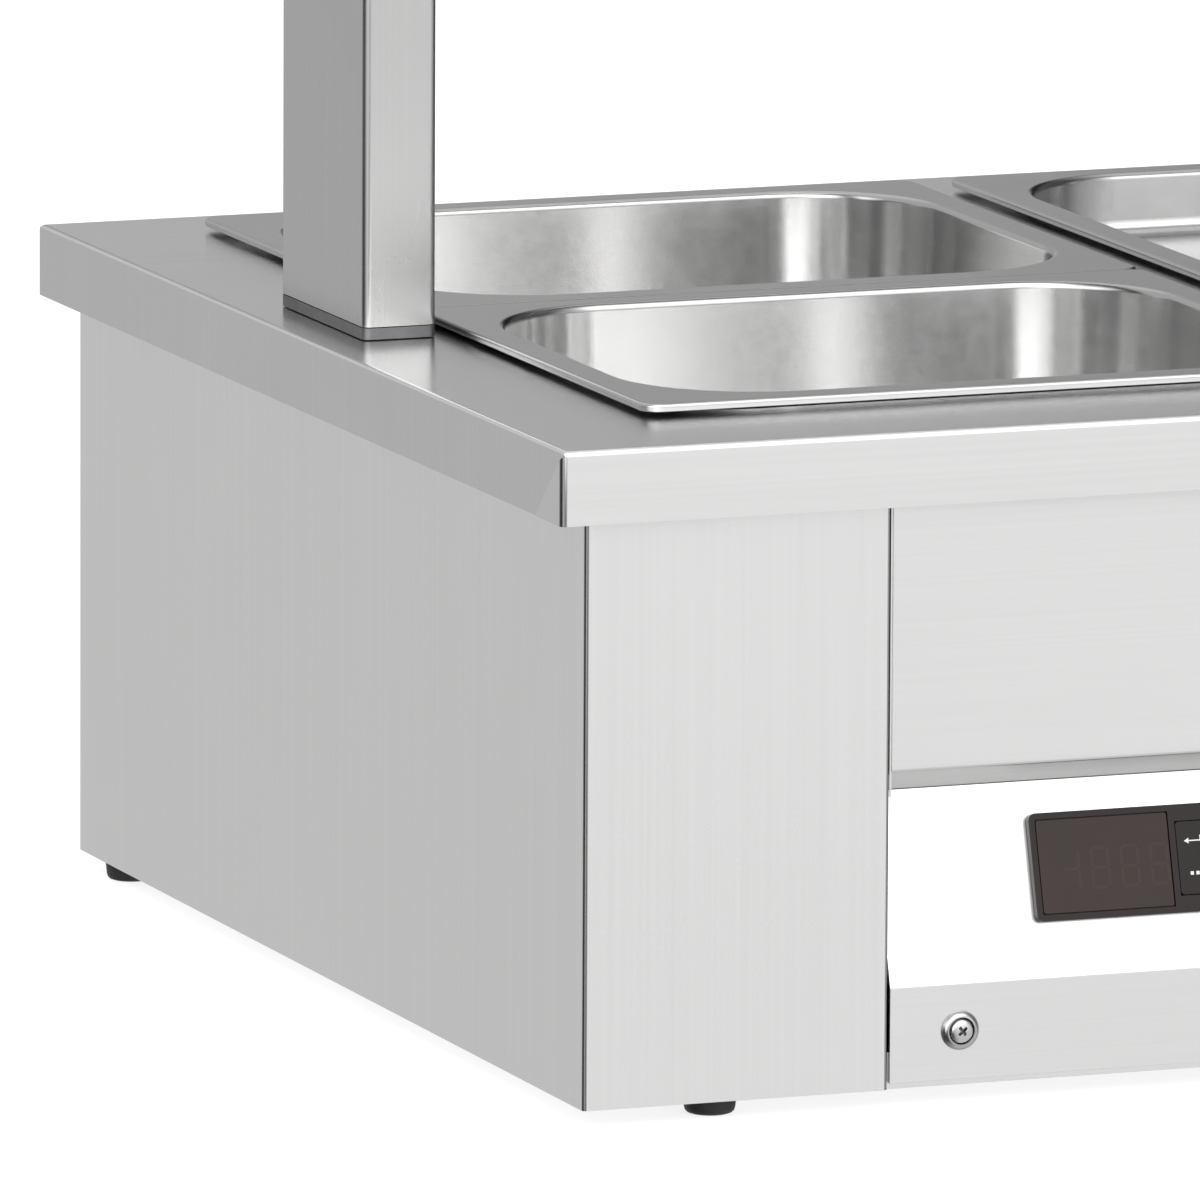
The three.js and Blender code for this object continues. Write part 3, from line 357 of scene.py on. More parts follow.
pan_steel_painted_light_and_shade = brushed_steel("pan_steel_painted_light_and_shade", "Y", 0.98, 0.17, painted_end_shade_tone=0.48, **PAN_GRAIN)
tray_steel_painted_shade = brushed_steel("tray_steel_painted_shade", "Y", 0.5, 0.22, painted_end_shade_tone=0.6, **PAN_GRAIN)
rim_steel_painted_shade = brushed_steel("rim_steel_painted_shade", "X", 0.43, 0.2, **PAN_GRAIN)
cup_steel = brushed_steel("cup_steel", "Z", 0.5, 0.2, **TURNED_GRAIN)
head_steel = brushed_steel("head_steel", "Z", 0.62, 0.25, **TURNED_GRAIN)
bright_steel = brushed_steel("bright_steel", "Z", 0.8, 0.16, bump=0.08, **TURNED_GRAIN)
bright_edge = worn_edge("bright_edge", 0.9, 0.1)
trim = tinted_metal("dark_trim", (0.12, 0.12, 0.125), (0.2, 0.2, 0.205), 0.45)
rubber = plastic("rubber", (0.006, 0.006, 0.006), (0.014, 0.014, 0.014), 0.55, grain=500.0, bump=0.3)
wool_matting = wool("mineral_wool")
rod_metal = tinted_metal("heating_rod", (0.05, 0.045, 0.04), (0.16, 0.13, 0.12), 0.5)
brass = tinted_metal("brass", (0.42, 0.3, 0.12), (0.62, 0.47, 0.22), 0.26)
bezel_plastic = plastic(
    "bezel_plastic", (0.008, 0.005, 0.0045), (0.013, 0.009, 0.008), 0.32, specular=0.22
)
window_plastic = plastic(
    "smoked_window", (0.014, 0.0075, 0.006), (0.02, 0.011, 0.0085), 0.14, bump=0.02, specular=0.22
)
digit_tint = plastic(
    "unlit_digit", (0.022, 0.0125, 0.0095), (0.027, 0.0155, 0.0115), 0.2, bump=0.02, specular=0.22
)
key_plastic = plastic(
    "key_plastic", (0.006, 0.0035, 0.0035), (0.01, 0.0065, 0.0065), 0.3, specular=0.22
)
glyph_ink = plastic("glyph_ink", (0.52, 0.5, 0.48), (0.66, 0.64, 0.62), 0.5)
black_plastic = plastic("black_plastic", (0.008, 0.008, 0.009), (0.016, 0.016, 0.017), 0.4)
green_plastic = plastic("green_rocker", (0.02, 0.17, 0.04), (0.03, 0.23, 0.06), 0.25, coat=0.4)
red_vinyl = plastic("red_vinyl", (0.32, 0.012, 0.01), (0.42, 0.02, 0.015), 0.42, grain=600.0)
ivory_plastic = plastic("ivory_plastic", (0.6, 0.55, 0.42), (0.7, 0.66, 0.55), 0.5)
mirror_steel = brushed_steel("reflector", "X", 0.88, 0.08, bump=0.05)
quartz = glass("quartz", (0.96, 0.94, 0.9), 0.06)
shelf_glass = glass("shelf_glass", (0.95, 0.985, 0.975))
shelf_edge = glass("shelf_edge", (0.35, 0.68, 0.58), 0.02)


# ---------------------------------------------------------------- shapes


WELD = 0.002 * MM
FLATNESS = math.radians(0.4)  # faces closer in direction than this become one


def from_cad(node):
    """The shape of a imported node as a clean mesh: welded, with its flat faces whole."""
    shape = bmesh.new()
    shape.from_mesh(frame["nodes"][node].data)
    bmesh.ops.remove_doubles(shape, verts=shape.verts, dist=WELD)
    bmesh.ops.dissolve_limit(
        shape,
        angle_limit=FLATNESS,
        verts=shape.verts,
        edges=shape.edges,
        use_dissolve_boundaries=False,
    )
    shape.normal_update()
    return shape


SHARP = math.radians(40.0)


def round_edges(shape, width):
    """Rounds every sharp edge. The new faces take the piece's second material."""
    edges = [
        edge
        for edge in shape.edges
        if len(edge.link_faces) == 2 and edge.calc_face_angle(0.0) > SHARP
    ]
    bmesh.ops.bevel(
        shape,
        geom=edges,
        offset=width * MM,
        segments=2,
        profile=0.5,
        affect="EDGES",
        clamp_overlap=True,
        material=1,
    )
    return shape


def loft(loops, shape=None):
    """A closed skin through loops of equal point count, in millimetres."""
    shape = shape or bmesh.new()
    rings = [[shape.verts.new(Vector(point) * MM) for point in loop] for loop in loops]
    count = len(rings[0])
    for low, high in zip(rings, rings[1:]):
        for i in range(count):
            j = (i + 1) % count
            shape.faces.new((low[i], low[j], high[j], high[i]))
    shape.faces.new(list(reversed(rings[0])))
    shape.faces.new(rings[-1])
    return shape


def rounded_loop(half_x, half_y, radius, steps=14):
    """A rectangle with round corners, anticlockwise, as (x, y) pairs."""
    loop = []
    for corner in range(4):
        side_x = 1 if corner in (0, 3) else -1
        side_y = 1 if corner < 2 else -1
        for k in range(steps + 1):
            angle = (corner + k / steps) * math.pi / 2
            loop.append(
                (
                    side_x * (half_x - radius) + radius * math.cos(angle),
                    side_y * (half_y - radius) + radius * math.sin(angle),
                )
            )
    return loop


def turned(points, matrix, sides=64, shape=None, closed=False):
    """A turned piece from [radius, height] points round the local Z axis of a matrix (mm)."""
    shape = shape or bmesh.new()
    rings = []
    for radius, height in points:
        if radius == 0:
            rings.append([shape.verts.new((matrix @ Vector((0, 0, height))) * MM)])
            continue
        ring = []
        for i in range(sides):
            angle = 2 * math.pi * i / sides
            local = Vector((radius * math.cos(angle), radius * math.sin(angle), height))
            ring.append(shape.verts.new((matrix @ local) * MM))
        rings.append(ring)
    pairs = list(zip(rings, rings[1:]))
    if closed:
        pairs.append((rings[-1], rings[0]))
    for low, high in pairs:
        for i in range(sides):
            j = (i + 1) % sides
            if len(low) == 1:
                shape.faces.new((low[0], high[j], high[i]))
            elif len(high) == 1:
                shape.faces.new((low[i], low[j], high[0]))
            else:
                shape.faces.new((low[i], low[j], high[j], high[i]))
    return shape


def arc(centre, radii, start, stop, steps):
    """Points on an elliptical arc between two angles in degrees."""
    points = []
    for k in range(steps + 1):
        angle = math.radians(start + (stop - start) * k / steps)
        x = centre[0] + radii[0] * math.cos(angle)
        y = centre[1] + radii[1] * math.sin(angle)
        points.append((x, y))
    return points


FLAT_WEIGHT = 80  # how much a big face's direction counts for more than a small one's


def box_mm(node):
    low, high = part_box(node)
    return low / MM, high / MM


def add_piece(name, shape, materials, node, sharp=50.0):
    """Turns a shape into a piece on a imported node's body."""
    bmesh.ops.recalc_face_normals(shape, faces=shape.faces)
    mesh = bpy.data.meshes.new(name)
    shape.to_mesh(mesh)
    shape.free()
    mesh.shade_smooth()
    mesh.set_sharp_from_angle(angle=math.radians(sharp))
    for material in materials:
        mesh.materials.append(material)
    piece = bpy.data.objects.new(name, mesh)
    bpy.context.scene.collection.objects.link(piece)
    weighted = piece.modifiers.new("flat_faces_stay_flat", "WEIGHTED_NORMAL")
    weighted.keep_sharp = True
    weighted.weight = FLAT_WEIGHT
    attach(piece, BODY_OF[node])
    return piece


def replace_node(node, shape, materials, sharp=50.0):
    """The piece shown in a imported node's place."""
    piece = add_piece(f"{node}_look", shape, materials, node, sharp)
    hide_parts(node)


# ---------------------------------------------------------------- sheet-metal pieces

# Nodes that keep their CAD shape with rounded edges: first and second material, rounding in mm.
SHEETS = [
    (("control_panel", "rear_panel", "base_tray", "drain_recess"), steel_x, steel_edge, 0.2),
    (("well_tank",), bright_steel, bright_edge, 0.2),
    (("well_insulation",), wool_matting, wool_matting, 1.5),
    (("post_foot_left", "post_foot_right"), trim, trim, 0.4),
    (("post_anchor_left", "post_anchor_right"), steel_y, steel_edge, 0.6),
    (("lamp_hood",), steel_x, steel_edge, 0.3),
    (("lamp_reflector",), mirror_steel, mirror_steel, 0.15),
    (("shelf_support_left", "shelf_support_right"), steel_y, steel_edge, 1.2),
    (("glass_shelf",), shelf_glass, shelf_edge, 1.2),
    (
        ("heating_element_left", "heating_element_middle", "heating_element_right"),
        rod_metal,
        rod_metal,
        0.3,
    ),
    (("drain_pipe",), bright_steel, bright_edge, 0.3),
    (("drain_valve_ball",), bright_steel, bright_edge, 0.2),
    (("drain_valve_stem",), bright_steel, bright_edge, 0.4),
    (("drain_valve_lever",), steel_x, steel_edge, 0.5),
    (("drain_valve_grip",), red_vinyl, red_vinyl, 1.6),
    (("terminal_block",), ivory_plastic, ivory_plastic, 0.8),
    (("power_relay",), ivory_plastic, ivory_plastic, 1.0),
    (("safety_thermostat",), black_plastic, black_plastic, 0.4),
    (("temperature_probe",), bright_steel, bright_edge, 0.3),
    (("controller_housing",), bezel_plastic, bezel_plastic, 0.7),
    (("heat_switch_housing", "lamp_switch_housing"), black_plastic, black_plastic, 0.5),
    (("heat_switch_rocker",), green_plastic, green_plastic, 0.5),
    (("lamp_switch_rocker",), black_plastic, black_plastic, 0.5),
]
for nodes, material, edge_material, rounding in SHEETS:
    for node in nodes:
        replace_node(node, round_edges(from_cad(node), rounding), [material, edge_material])

SHEET_ROUNDING = 0.2
POST_ROUNDING = 0.3
COUNTER_ROUNDING = 0.25
SEAM_SETBACK = 0.5  # the backing in a seam lies this far behind the fascia's face
SEAM_BACKING = 0.4
SEAM_INSET = 1.0  # and ends this far inside its height
FLAT = 0.9  # a face square to an axis has at least this share of its normal along it
ASLANT = 0.1  # a fold's faces have more than this along both X and Y
UPRIGHT = 0.2  # and less than this along Z
TAB_PROUD = 0.2  # how near the counter's end a tab's face comes


def make_fascia():
    """The fascia, with the backing that shows pale in the seams at its ends."""
    shape = round_edges(from_cad("front_fascia"), SHEET_ROUNDING)
    low, high = box_mm("front_fascia")
    panel_high = box_mm("side_panel_left")[1]
    near = low.y + SEAM_SETBACK
    far = near + SEAM_BACKING
    for side in (-1, 1):
        start, stop = sorted((side * high.x, side * -panel_high.x))
        wall = [(start, near), (stop, near), (stop, far), (start, far)]
        levels = (low.z + SEAM_INSET, high.z - SEAM_INSET)
        loft([[(x, y, z) for x, y in wall] for z in levels], shape)
    replace_node("front_fascia", shape, [steel_x, steel_edge])


def paint_shade_in_folds(shape, index):
    """Paints shade into the upright folds between a sheet's faces by giving them the material with an index."""
    for face in shape.faces:
        slant = min(abs(face.normal.x), abs(face.normal.y))
        if slant > ASLANT and abs(face.normal.z) < UPRIGHT:
            face.material_index = index
    return shape


def make_side_panel(node):
    shape = paint_shade_in_folds(round_edges(from_cad(node), SHEET_ROUNDING), 2)
    replace_node(node, shape, [steel_z, steel_edge, steel_fold_painted_shade])


def make_post(node):
    """A box-section post: its front face is painted lighter than its sides, as painted light and shade."""
    shape = round_edges(from_cad(node), POST_ROUNDING)
    for face in shape.faces:
        if face.normal.y < -FLAT and not face.material_index:
            face.material_index = 2
    replace_node(node, shape, [steel_post_side_painted_shade, steel_edge, steel_post_front_painted_light])


def make_counter():
    """The counter. Its side aprons, the tabs on them and the folds get darker copies of its steel, as painted
    shade.
    """
    materials = [steel_counter, steel_edge, steel_apron_painted_shade, steel_tab_painted_shade, steel_fold_painted_shade]
    shape = paint_shade_in_folds(
        round_edges(from_cad("countertop"), COUNTER_ROUNDING), materials.index(steel_fold_painted_shade)
    )
    high = box_mm("countertop")[1]
    # Faces square to X are painted darker: painted shade on the side aprons and their tabs.
    for face in shape.faces:
        if face.material_index or abs(face.normal.x) < FLAT:
            continue
        reach = max(abs(vertex.co.x) for vertex in face.verts) / MM
        steel = steel_tab_painted_shade if reach > high.x - TAB_PROUD else steel_apron_painted_shade
        face.material_index = materials.index(steel)
    replace_node("countertop", shape, materials)


for side in SIDES:
    make_side_panel(f"side_panel_{side}")
    make_post(f"post_{side}")
make_fascia()
make_counter()


# ---------------------------------------------------------------- pans

# Heights are above the rim's top and insets are from the rim's edge.
PAN_SHEET = 1.0
LIP_CORNER = 8.0
LIP_FOOT = -3.6  # where the turned edge of the rim ends
LIP_RADIUS = 1.6
LIP_TURN = (1.2, 1.0, 0.5)  # inset and half sizes of the lip's rolled foot
LIP_BACK = 2.2  # inset of the rim's underside behind the lip
FLOOR_CORNER = 54.0
THROAT_CORNER = 60.0
THROAT_TIGHTENING = 0.77  # how fast the throat's corners tighten inwards
THROAT_START = 13.0
THROAT_UNDER = 0.6  # how much nearer the edge the throat starts on the underside
WALL_TOP = -3.0
WALL_INSET = 15.6
# The rim's darker steel, painted shade, reaches down to the height below.
RIM_PAINTED_SHADE_FOOT = WALL_TOP - 0.8  # the rim's steel goes down to here
DEEP = {"depth": 100.0, "floor_radius": 16.0, "draft": 4.0}
SHALLOW = {"depth": 27.0, "floor_radius": 7.0, "draft": 1.5}


def pan_section(depth, floor_radius, draft):
    """[inset from the rim's edge, height above the rim's top, corner radius] down the outside,
    over the rim and down the inside."""
    floor_inset = WALL_INSET + draft

    def floor_fillet(thickness):
        radius = floor_radius + thickness
        wall = floor_inset - thickness
        centre = (wall + radius, radius - depth - thickness)
        turn = arc(centre, (radius, radius), 180, 270, 8)
        return [(edge, z, FLOOR_CORNER - (edge - wall) / 2) for edge, z in turn]

    inset, half_width, half_height = LIP_TURN
    lip = [(LIP_BACK, -PAN_SHEET)]
    lip += arc((inset, LIP_FOOT + half_height), (half_width, half_height), 0, -180, 6)
    lip += arc((LIP_RADIUS, -LIP_RADIUS), (LIP_RADIUS, LIP_RADIUS), 180, 90, 8)
    throat = arc((THROAT_START, WALL_TOP), (WALL_INSET - THROAT_START, -WALL_TOP), 90, 0, 8)
    section = list(reversed(floor_fillet(PAN_SHEET)))
    section.append((WALL_INSET - PAN_SHEET, WALL_TOP, THROAT_CORNER - 1))
    section.append((THROAT_START - THROAT_UNDER, -PAN_SHEET, THROAT_CORNER))
    section += [(edge, z, LIP_CORNER - edge) for edge, z in lip]
    for edge, z in throat:
        section.append((edge, z, THROAT_CORNER - THROAT_TIGHTENING * (edge - THROAT_START)))
    section += floor_fillet(0.0)
    return section


def make_pan(node, steel, form):
    """A pressed pan: its rim is painted darker than the pan below it, as painted shade, with a second copy of the
    steel.
    """
    low, high = box_mm(node)
    centre = (low + high) / 2
    half = (high - low) / 2
    loops = []
    for edge, z, radius in pan_section(**form):
        outline = rounded_loop(half.x - edge, half.y - edge, radius)
        loops.append([(centre.x + x, centre.y + y, high.z + z) for x, y in outline])
    shape = loft(loops)
    shape.normal_update()
    for face in shape.faces:
        if face.calc_center_median().z / MM > high.z + RIM_PAINTED_SHADE_FOOT:
            face.material_index = 1
    replace_node(node, shape, [steel, rim_steel_painted_shade], sharp=60.0)


# The deep pans' steel is painted lighter and the shallow trays' darker: painted light and shade.
for node in ("pan_front_left", "pan_rear_left"):
    make_pan(node, pan_steel_painted_light_and_shade, DEEP)
for node in ("pan_middle", "pan_right"):
    make_pan(node, tray_steel_painted_shade, SHALLOW)


# ---------------------------------------------------------------- feet

FOOT_PROFILE = [(0, 0.6), (5, 0.6), (6, 0), (8, 0), (9.2, 0.4), (10.0, 1.2), (10.4, 2.6)]
FOOT_PROFILE += [(10.9, 7.0), (10.6, 7.5), (10.0, 7.6), (3.0, 7.6)]
SPIGOT = (3.0, 0.4)  # radius and chamfer of the push-in stud on top


def make_foot(node):
    low, high = box_mm(node)
    place = Matrix.Translation(((low.x + high.x) / 2, (low.y + high.y) / 2, 0))
    radius, chamfer = SPIGOT
    stud = [(radius, high.z - chamfer), (radius - chamfer, high.z), (0, high.z)]
    replace_node(node, turned(FOOT_PROFILE + stud, place, 48), [rubber])


for end in ("front", "rear"):
    for side in SIDES:
        make_foot(f"rubber_foot_{end}_{side}")


# ---------------------------------------------------------------- sloping control panel

press_axis = next(
    Vector(joint["axis"]) for joint in frame["joints"] if joint["name"].endswith("_press")
)
INWARD = press_axis.normalized()  # into the panel
ACROSS = Vector((1, 0, 0))
UPSLOPE = ACROSS.cross(INWARD)


def slope_plate(node):
    """Centre and (width, thickness, height) of a plate that lies in the sloping panel."""
    low, high = box_mm(node)
    width, run, rise = high - low
    cos, sin = INWARD.y, abs(INWARD.z)
    scale = cos * cos - sin * sin
    height = (rise * cos - run * sin) / scale
    thickness = (run * cos - rise * sin) / scale
    return (low + high) / 2, (width, thickness, height)


def slope_matrix(origin):
    """From a plate's own plane to the model: X across, Y up the slope, Z out of the panel."""
    turn = Matrix((ACROSS, UPSLOPE, -INWARD)).transposed().to_4x4()
    return Matrix.Translation(origin) @ turn


SOFTENING = 0.3  # where the softened edge turns, as a share of the crown


def plate_shape(outline, matrix, low, high, crown, shape=None):
    """A flat plate with a softened front edge: outline is (x, y) in the matrix's own plane and
    heights run along its Z."""

    def ring(height, shrink):
        centre = sum((Vector(p) for p in outline), Vector((0, 0))) / len(outline)
        points = []
        for p in outline:
            arm = Vector(p) - centre
            arm *= (arm.length - shrink) / arm.length
            points.append(matrix @ Vector((centre.x + arm.x, centre.y + arm.y, height)))
        return points

    turn = crown * SOFTENING
    loops = [ring(low, 0), ring(high - crown, 0), ring(high - turn, turn), ring(high, crown)]
    return loft(loops, shape)


def rounded_plate(node, corner, crown, material):
    """A packed plate in the sloping panel, with round corners and a softened front edge."""
    centre, (width, thickness, height) = slope_plate(node)
    outline = rounded_loop(width / 2, height / 2, corner, 6)
    shape = plate_shape(outline, slope_matrix(centre), -thickness / 2, thickness / 2, crown)
    replace_node(node, shape, [material])


rounded_plate("controller_window", 1.0, 0.3, window_plastic)
for node in ("key_down", "key_standby", "key_set", "key_up"):
    rounded_plate(node, 1.5, 0.45, key_plastic)

# Unlit figures behind the window: a short first one and three full ones.
DIGIT = (8.3, 17.4)
STROKE = 1.25
DIGIT_PITCH = 12.9
DIGIT_MARGIN = 4.9  # from the last digit's middle to the window's edge
DIGIT_DROP = 1.5  # how far the digits sit below the window's middle
DIGIT_COUNT = 4
SEGMENT_GAP = 0.6
FILM = 0.03  # how far printed or moulded marks stand off their surface
FILM_CROWN = 0.01
FILM_ROOT = 0.2  # how far they reach under it
SEGMENTS = {  # centre (shares of the half size) and whether it lies flat
    "a": (0, 1, True),
    "b": (1, 0.5, False),
    "c": (1, -0.5, False),
    "d": (0, -1, True),
    "e": (-1, -0.5, False),
    "f": (-1, 0.5, False),
    "g": (0, 0, True),
}


def segment_outline(x, y, length, lying):
    """A seven-segment bar with pointed ends."""
    half = length / 2
    nib = STROKE / 2
    upper = [(half, 0), (half - nib, nib), (nib - half, nib)]
    outline = upper + [(-a, -b) for a, b in upper]
    return [(x + a, y + b) if lying else (x + b, y - a) for a, b in outline]


def printed(outlines, node):
    """Thin marks on the front of a plate in the sloping panel, from outlines about its middle."""
    centre, (_, thickness, _) = slope_plate(node)
    matrix = slope_matrix(centre)
    face = thickness / 2
    shape = bmesh.new()
    for outline in outlines:
        plate_shape(outline, matrix, face - FILM_ROOT, face + FILM, FILM_CROWN, shape)
    return shape


def make_digits():
    node = "controller_window"
    width = slope_plate(node)[1][0]
    half_x = (DIGIT[0] - STROKE) / 2
    half_y = (DIGIT[1] - STROKE) / 2
    outlines = []
    for place in range(DIGIT_COUNT):
        first = place == DIGIT_COUNT - 1
        middle = width / 2 - DIGIT_MARGIN - place * DIGIT_PITCH
        for name in "bcg" if first else "abcdefg":
            across, up, lying = SEGMENTS[name]
            length = (2 * half_x if lying else half_y) - SEGMENT_GAP
            x, y = middle + across * half_x, up * half_y - DIGIT_DROP
            outlines.append(segment_outline(x, y, length, lying))
    add_piece("controller_digits", printed(outlines, node), [digit_tint], node)


make_digits()


def triangle(size, direction, centre=(0.0, 0.0)):
    """An equilateral triangle that points in a direction (degrees)."""
    corners = []
    for k in range(3):
        angle = math.radians(direction + k * 120)
        corners.append((centre[0] + size * math.cos(angle), centre[1] + size * math.sin(angle)))
    return corners


def bar(x0, y0, x1, y1):
    return [(x0, y0), (x1, y0), (x1, y1), (x0, y1)]


# Marks printed on the keys, in millimetres from the middle of the key.
ARROW = [
    triangle(1.35, 180, (-2.6, 6.9)),
    bar(-2.0, 6.65, 3.4, 7.15),
    bar(3.0, 7.15, 3.4, 9.0),
]
DOTS = [bar(x - 0.7, -7.0, x + 0.7, -5.6) for x in (-1.6, 0.9, 3.4)]
MARKS = {
    "key_down": [triangle(1.9, -90)],
    "key_up": [triangle(1.9, 90)],
    "key_standby": [bar(-0.3, 0.2, 0.3, 2.2), bar(-1.6, -1.4, 1.6, -0.9)],
    "key_set": ARROW + DOTS,
}
for node, outlines in MARKS.items():
    add_piece(f"{node}_mark", printed(outlines, node), [glyph_ink], node)


# ---------------------------------------------------------------- screws in cup washers

FORWARD = Matrix.Rotation(math.radians(90), 4, "X")  # local Z becomes -Y, out of the front

CUP_BORE = 3.2
CUP_SEAT = [(5.3, 1.75), (4.9, 1.2), (CUP_BORE, 0.9)]
CROSS_ARM = 2.3
CROSS_WIDTH = 0.46  # half of it
CROSS_DEPTH = 1.5
CROSS_TURN = math.radians(40)
CROSS_WALL = (0.15, 0.2)  # how far a wall starts outside the half width, and how wide it is
CROSS_RUNOUT = 0.9  # the arms' ends slope up over this length
# Where the recess is deep it is painted dark, as painted shade.
CROSS_SHADE = 0.3  # the recess is dark where it is deeper than this
SCREW_SIDES = 96
SCREW_RINGS = 22
HEAD_HEIGHT = 1.0
HEAD_CROWN = 0.9
HEAD_ZONE = 2.8  # only faces this near the top can belong to the recess


def front_place(low, high):
    """On the panel behind a front fitting, in line with its middle."""
    centre = (low + high) / 2
    return Matrix.Translation((centre.x, high.y, centre.z)) @ FORWARD


def make_cup(node):
    low, high = box_mm(node)
    radius = (high.x - low.x) / 2
    profile = [(CUP_BORE, 0.0), (radius - 0.3, 0.0), (radius, 0.25), (radius - 0.1, 0.6)]
    profile += arc((radius - 2.4, 0.5), (2.0, 1.6), 20, 90, 7)
    profile += CUP_SEAT
    shape = turned(profile, front_place(low, high), 72, closed=True)
    replace_node(node, shape, [cup_steel], sharp=35.0)


def cross_depth(x, y):
    """How deep the cross recess is at a point of the screw's head."""
    u = x * math.cos(CROSS_TURN) + y * math.sin(CROSS_TURN)
    v = y * math.cos(CROSS_TURN) - x * math.sin(CROSS_TURN)
    outside, wall_width = CROSS_WALL
    best = 0.0
    for along, aside in ((u, v), (v, u)):
        wall = min(1.0, max(0.0, (CROSS_WIDTH + outside - abs(aside)) / wall_width))
        end = min(1.0, max(0.0, (CROSS_ARM - abs(along)) / CROSS_RUNOUT))
        best = max(best, wall * end)
    return CROSS_DEPTH * best


def screw_rings(tall, reach):
    """[radius, height, whether the cross cuts it] from the screw's tip to its head's middle."""
    shank = [(1.9, 0.0), (2.2, 1.0), (2.2, tall - 2.6), (reach - 0.2, tall - 1.3)]
    rings = [(radius, height, False) for radius, height in [*shank, (reach, tall - 1.1)]]
    for k in range(SCREW_RINGS - 1, 0, -1):
        radius = reach * k / SCREW_RINGS
        crown = math.sqrt(1 - (radius / reach) ** 2) * HEAD_CROWN
        rings.append((radius, tall - HEAD_HEIGHT + crown, True))
    return rings


def make_screw(node):
    low, high = box_mm(node)
    place = front_place(low, high)
    tall = high.y - low.y
    shape = bmesh.new()
    rings = []
    for radius, height, recess in screw_rings(tall, (high.x - low.x) / 2):
        ring = []
        for i in range(SCREW_SIDES):
            angle = 2 * math.pi * i / SCREW_SIDES
            x, y = radius * math.cos(angle), radius * math.sin(angle)
            drop = cross_depth(x, y) if recess else 0.0
            ring.append(shape.verts.new((place @ Vector((x, y, height - drop))) * MM))
        rings.append(ring)
    middle = height - cross_depth(0, 0)
    start = shape.verts.new((place @ Vector((0, 0, 0))) * MM)
    stop = shape.verts.new((place @ Vector((0, 0, middle))) * MM)
    for i in range(SCREW_SIDES):
        j = (i + 1) % SCREW_SIDES
        shape.faces.new((start, rings[0][j], rings[0][i]))
        shape.faces.new((rings[-1][i], rings[-1][j], stop))
        for inner, outer in zip(rings, rings[1:]):
            shape.faces.new((inner[i], inner[j], outer[j], outer[i]))
    # Faces deep in the cross recess get the dark trim: painted shade.
    back = place.inverted()
    for face in shape.faces:
        spot = back @ (face.calc_center_median() / MM)
        if spot.z > tall - HEAD_ZONE and cross_depth(spot.x, spot.y) > CROSS_SHADE:
            face.material_index = 1
    replace_node(node, shape, [head_steel, trim], sharp=40.0)


for side in SIDES:
    make_cup(f"cup_washer_{side}")
    make_screw(f"panel_screw_{side}")


# ---------------------------------------------------------------- rear fittings and lamps

BACKWARD = Matrix.Rotation(math.radians(-90), 4, "X")  # local Z becomes +Y, out of the rear


def make_gland():
    """A cable gland: a turned body with a domed nut, and a hexagon against the rear panel.
    Heights are from the panel's outer face."""
    low, high = box_mm("cable_gland")
    centre = (low + high) / 2
    rear = box_mm("rear_panel")[1].y
    place = Matrix.Translation((centre.x, rear, centre.z)) @ BACKWARD
    inside = [(4.5, -9), (11, -9), (11, -3), (8, -3), (8, 0.4), (8.6, 0.4)]
    dome = [(9.6, 5.4), (9.6, 6.4), *arc((6.6, 6.4), (3.0, 3.8), 0, 80, 6), (5.4, 11.0), (4.5, 10.4)]
    shape = turned([*inside, (8.6, 5.4), *dome], place, 48, closed=True)
    nut = [(8.7, 0.5), (11.4, 0.5), (12.0, 1.1), (12.0, 4.4), (11.4, 5.0), (8.7, 5.0)]
    turned(nut, place, 6, shape, closed=True)
    replace_node("cable_gland", shape, [black_plastic], sharp=30.0)


VALVE_BORE = 7.5
VALVE_PIPE = 11.0
VALVE_BELLY = 14.6  # radius where the belly's round shoulders start
SHOULDER = (2.4, 3.0)
BALL_SEAT = 12.4
THREADS = 6
THREAD_PITCH = 2.0
THREAD_DEPTH = 0.9


def make_valve():
    """A ball valve's body: a threaded tail, a round belly, a plain head and the ball's seat.
    Heights are from the body's middle."""
    low, high = box_mm("drain_valve_body")
    place = Matrix.Translation((low + high) / 2) @ BACKWARD
    half = (high.y - low.y) / 2
    tail = [(VALVE_BORE, -half), (VALVE_PIPE - 0.4, -half), (VALVE_PIPE, -half + 0.4)]
    for k in range(THREADS):
        z = -half + 2 + k * THREAD_PITCH
        tail += [(VALVE_PIPE, z), (VALVE_PIPE - THREAD_DEPTH, z + THREAD_PITCH / 2)]
    tail += [(VALVE_PIPE, -21.5), (VALVE_BELLY, -17.0)]
    tail += arc((VALVE_BELLY, -13.0), SHOULDER, -80, 0, 4)
    head = arc((VALVE_BELLY, 13.0), SHOULDER, 0, 80, 4)
    head += [(VALVE_PIPE, 20.5), (VALVE_PIPE, half - 0.5), (VALVE_PIPE - 0.5, half)]
    head.append((VALVE_BORE, half))
    opening = math.asin(VALVE_BORE / BALL_SEAT)
    cavity = []
    for k in range(9):
        angle = opening + (math.pi - 2 * opening) * k / 8
        cavity.append((BALL_SEAT * math.sin(angle), BALL_SEAT * math.cos(angle)))
    shape = turned([*tail, *head, *cavity], place, 48, closed=True)
    replace_node("drain_valve_body", shape, [brass], sharp=35.0)


LAMP_CAP = 22.0  # length of a lamp's ceramic ends
LAMP_CAP_RADII = (6.2, 7, 0.8)  # at the face, at the side, and the chamfer's length
LAMP_TUBE = 5
COIL_TURNS = 60
COIL_STEPS = 8
COIL_RADIUS = 1.6
COIL_MARGIN = 2  # from a cap to the coil
WIRE = 0.35


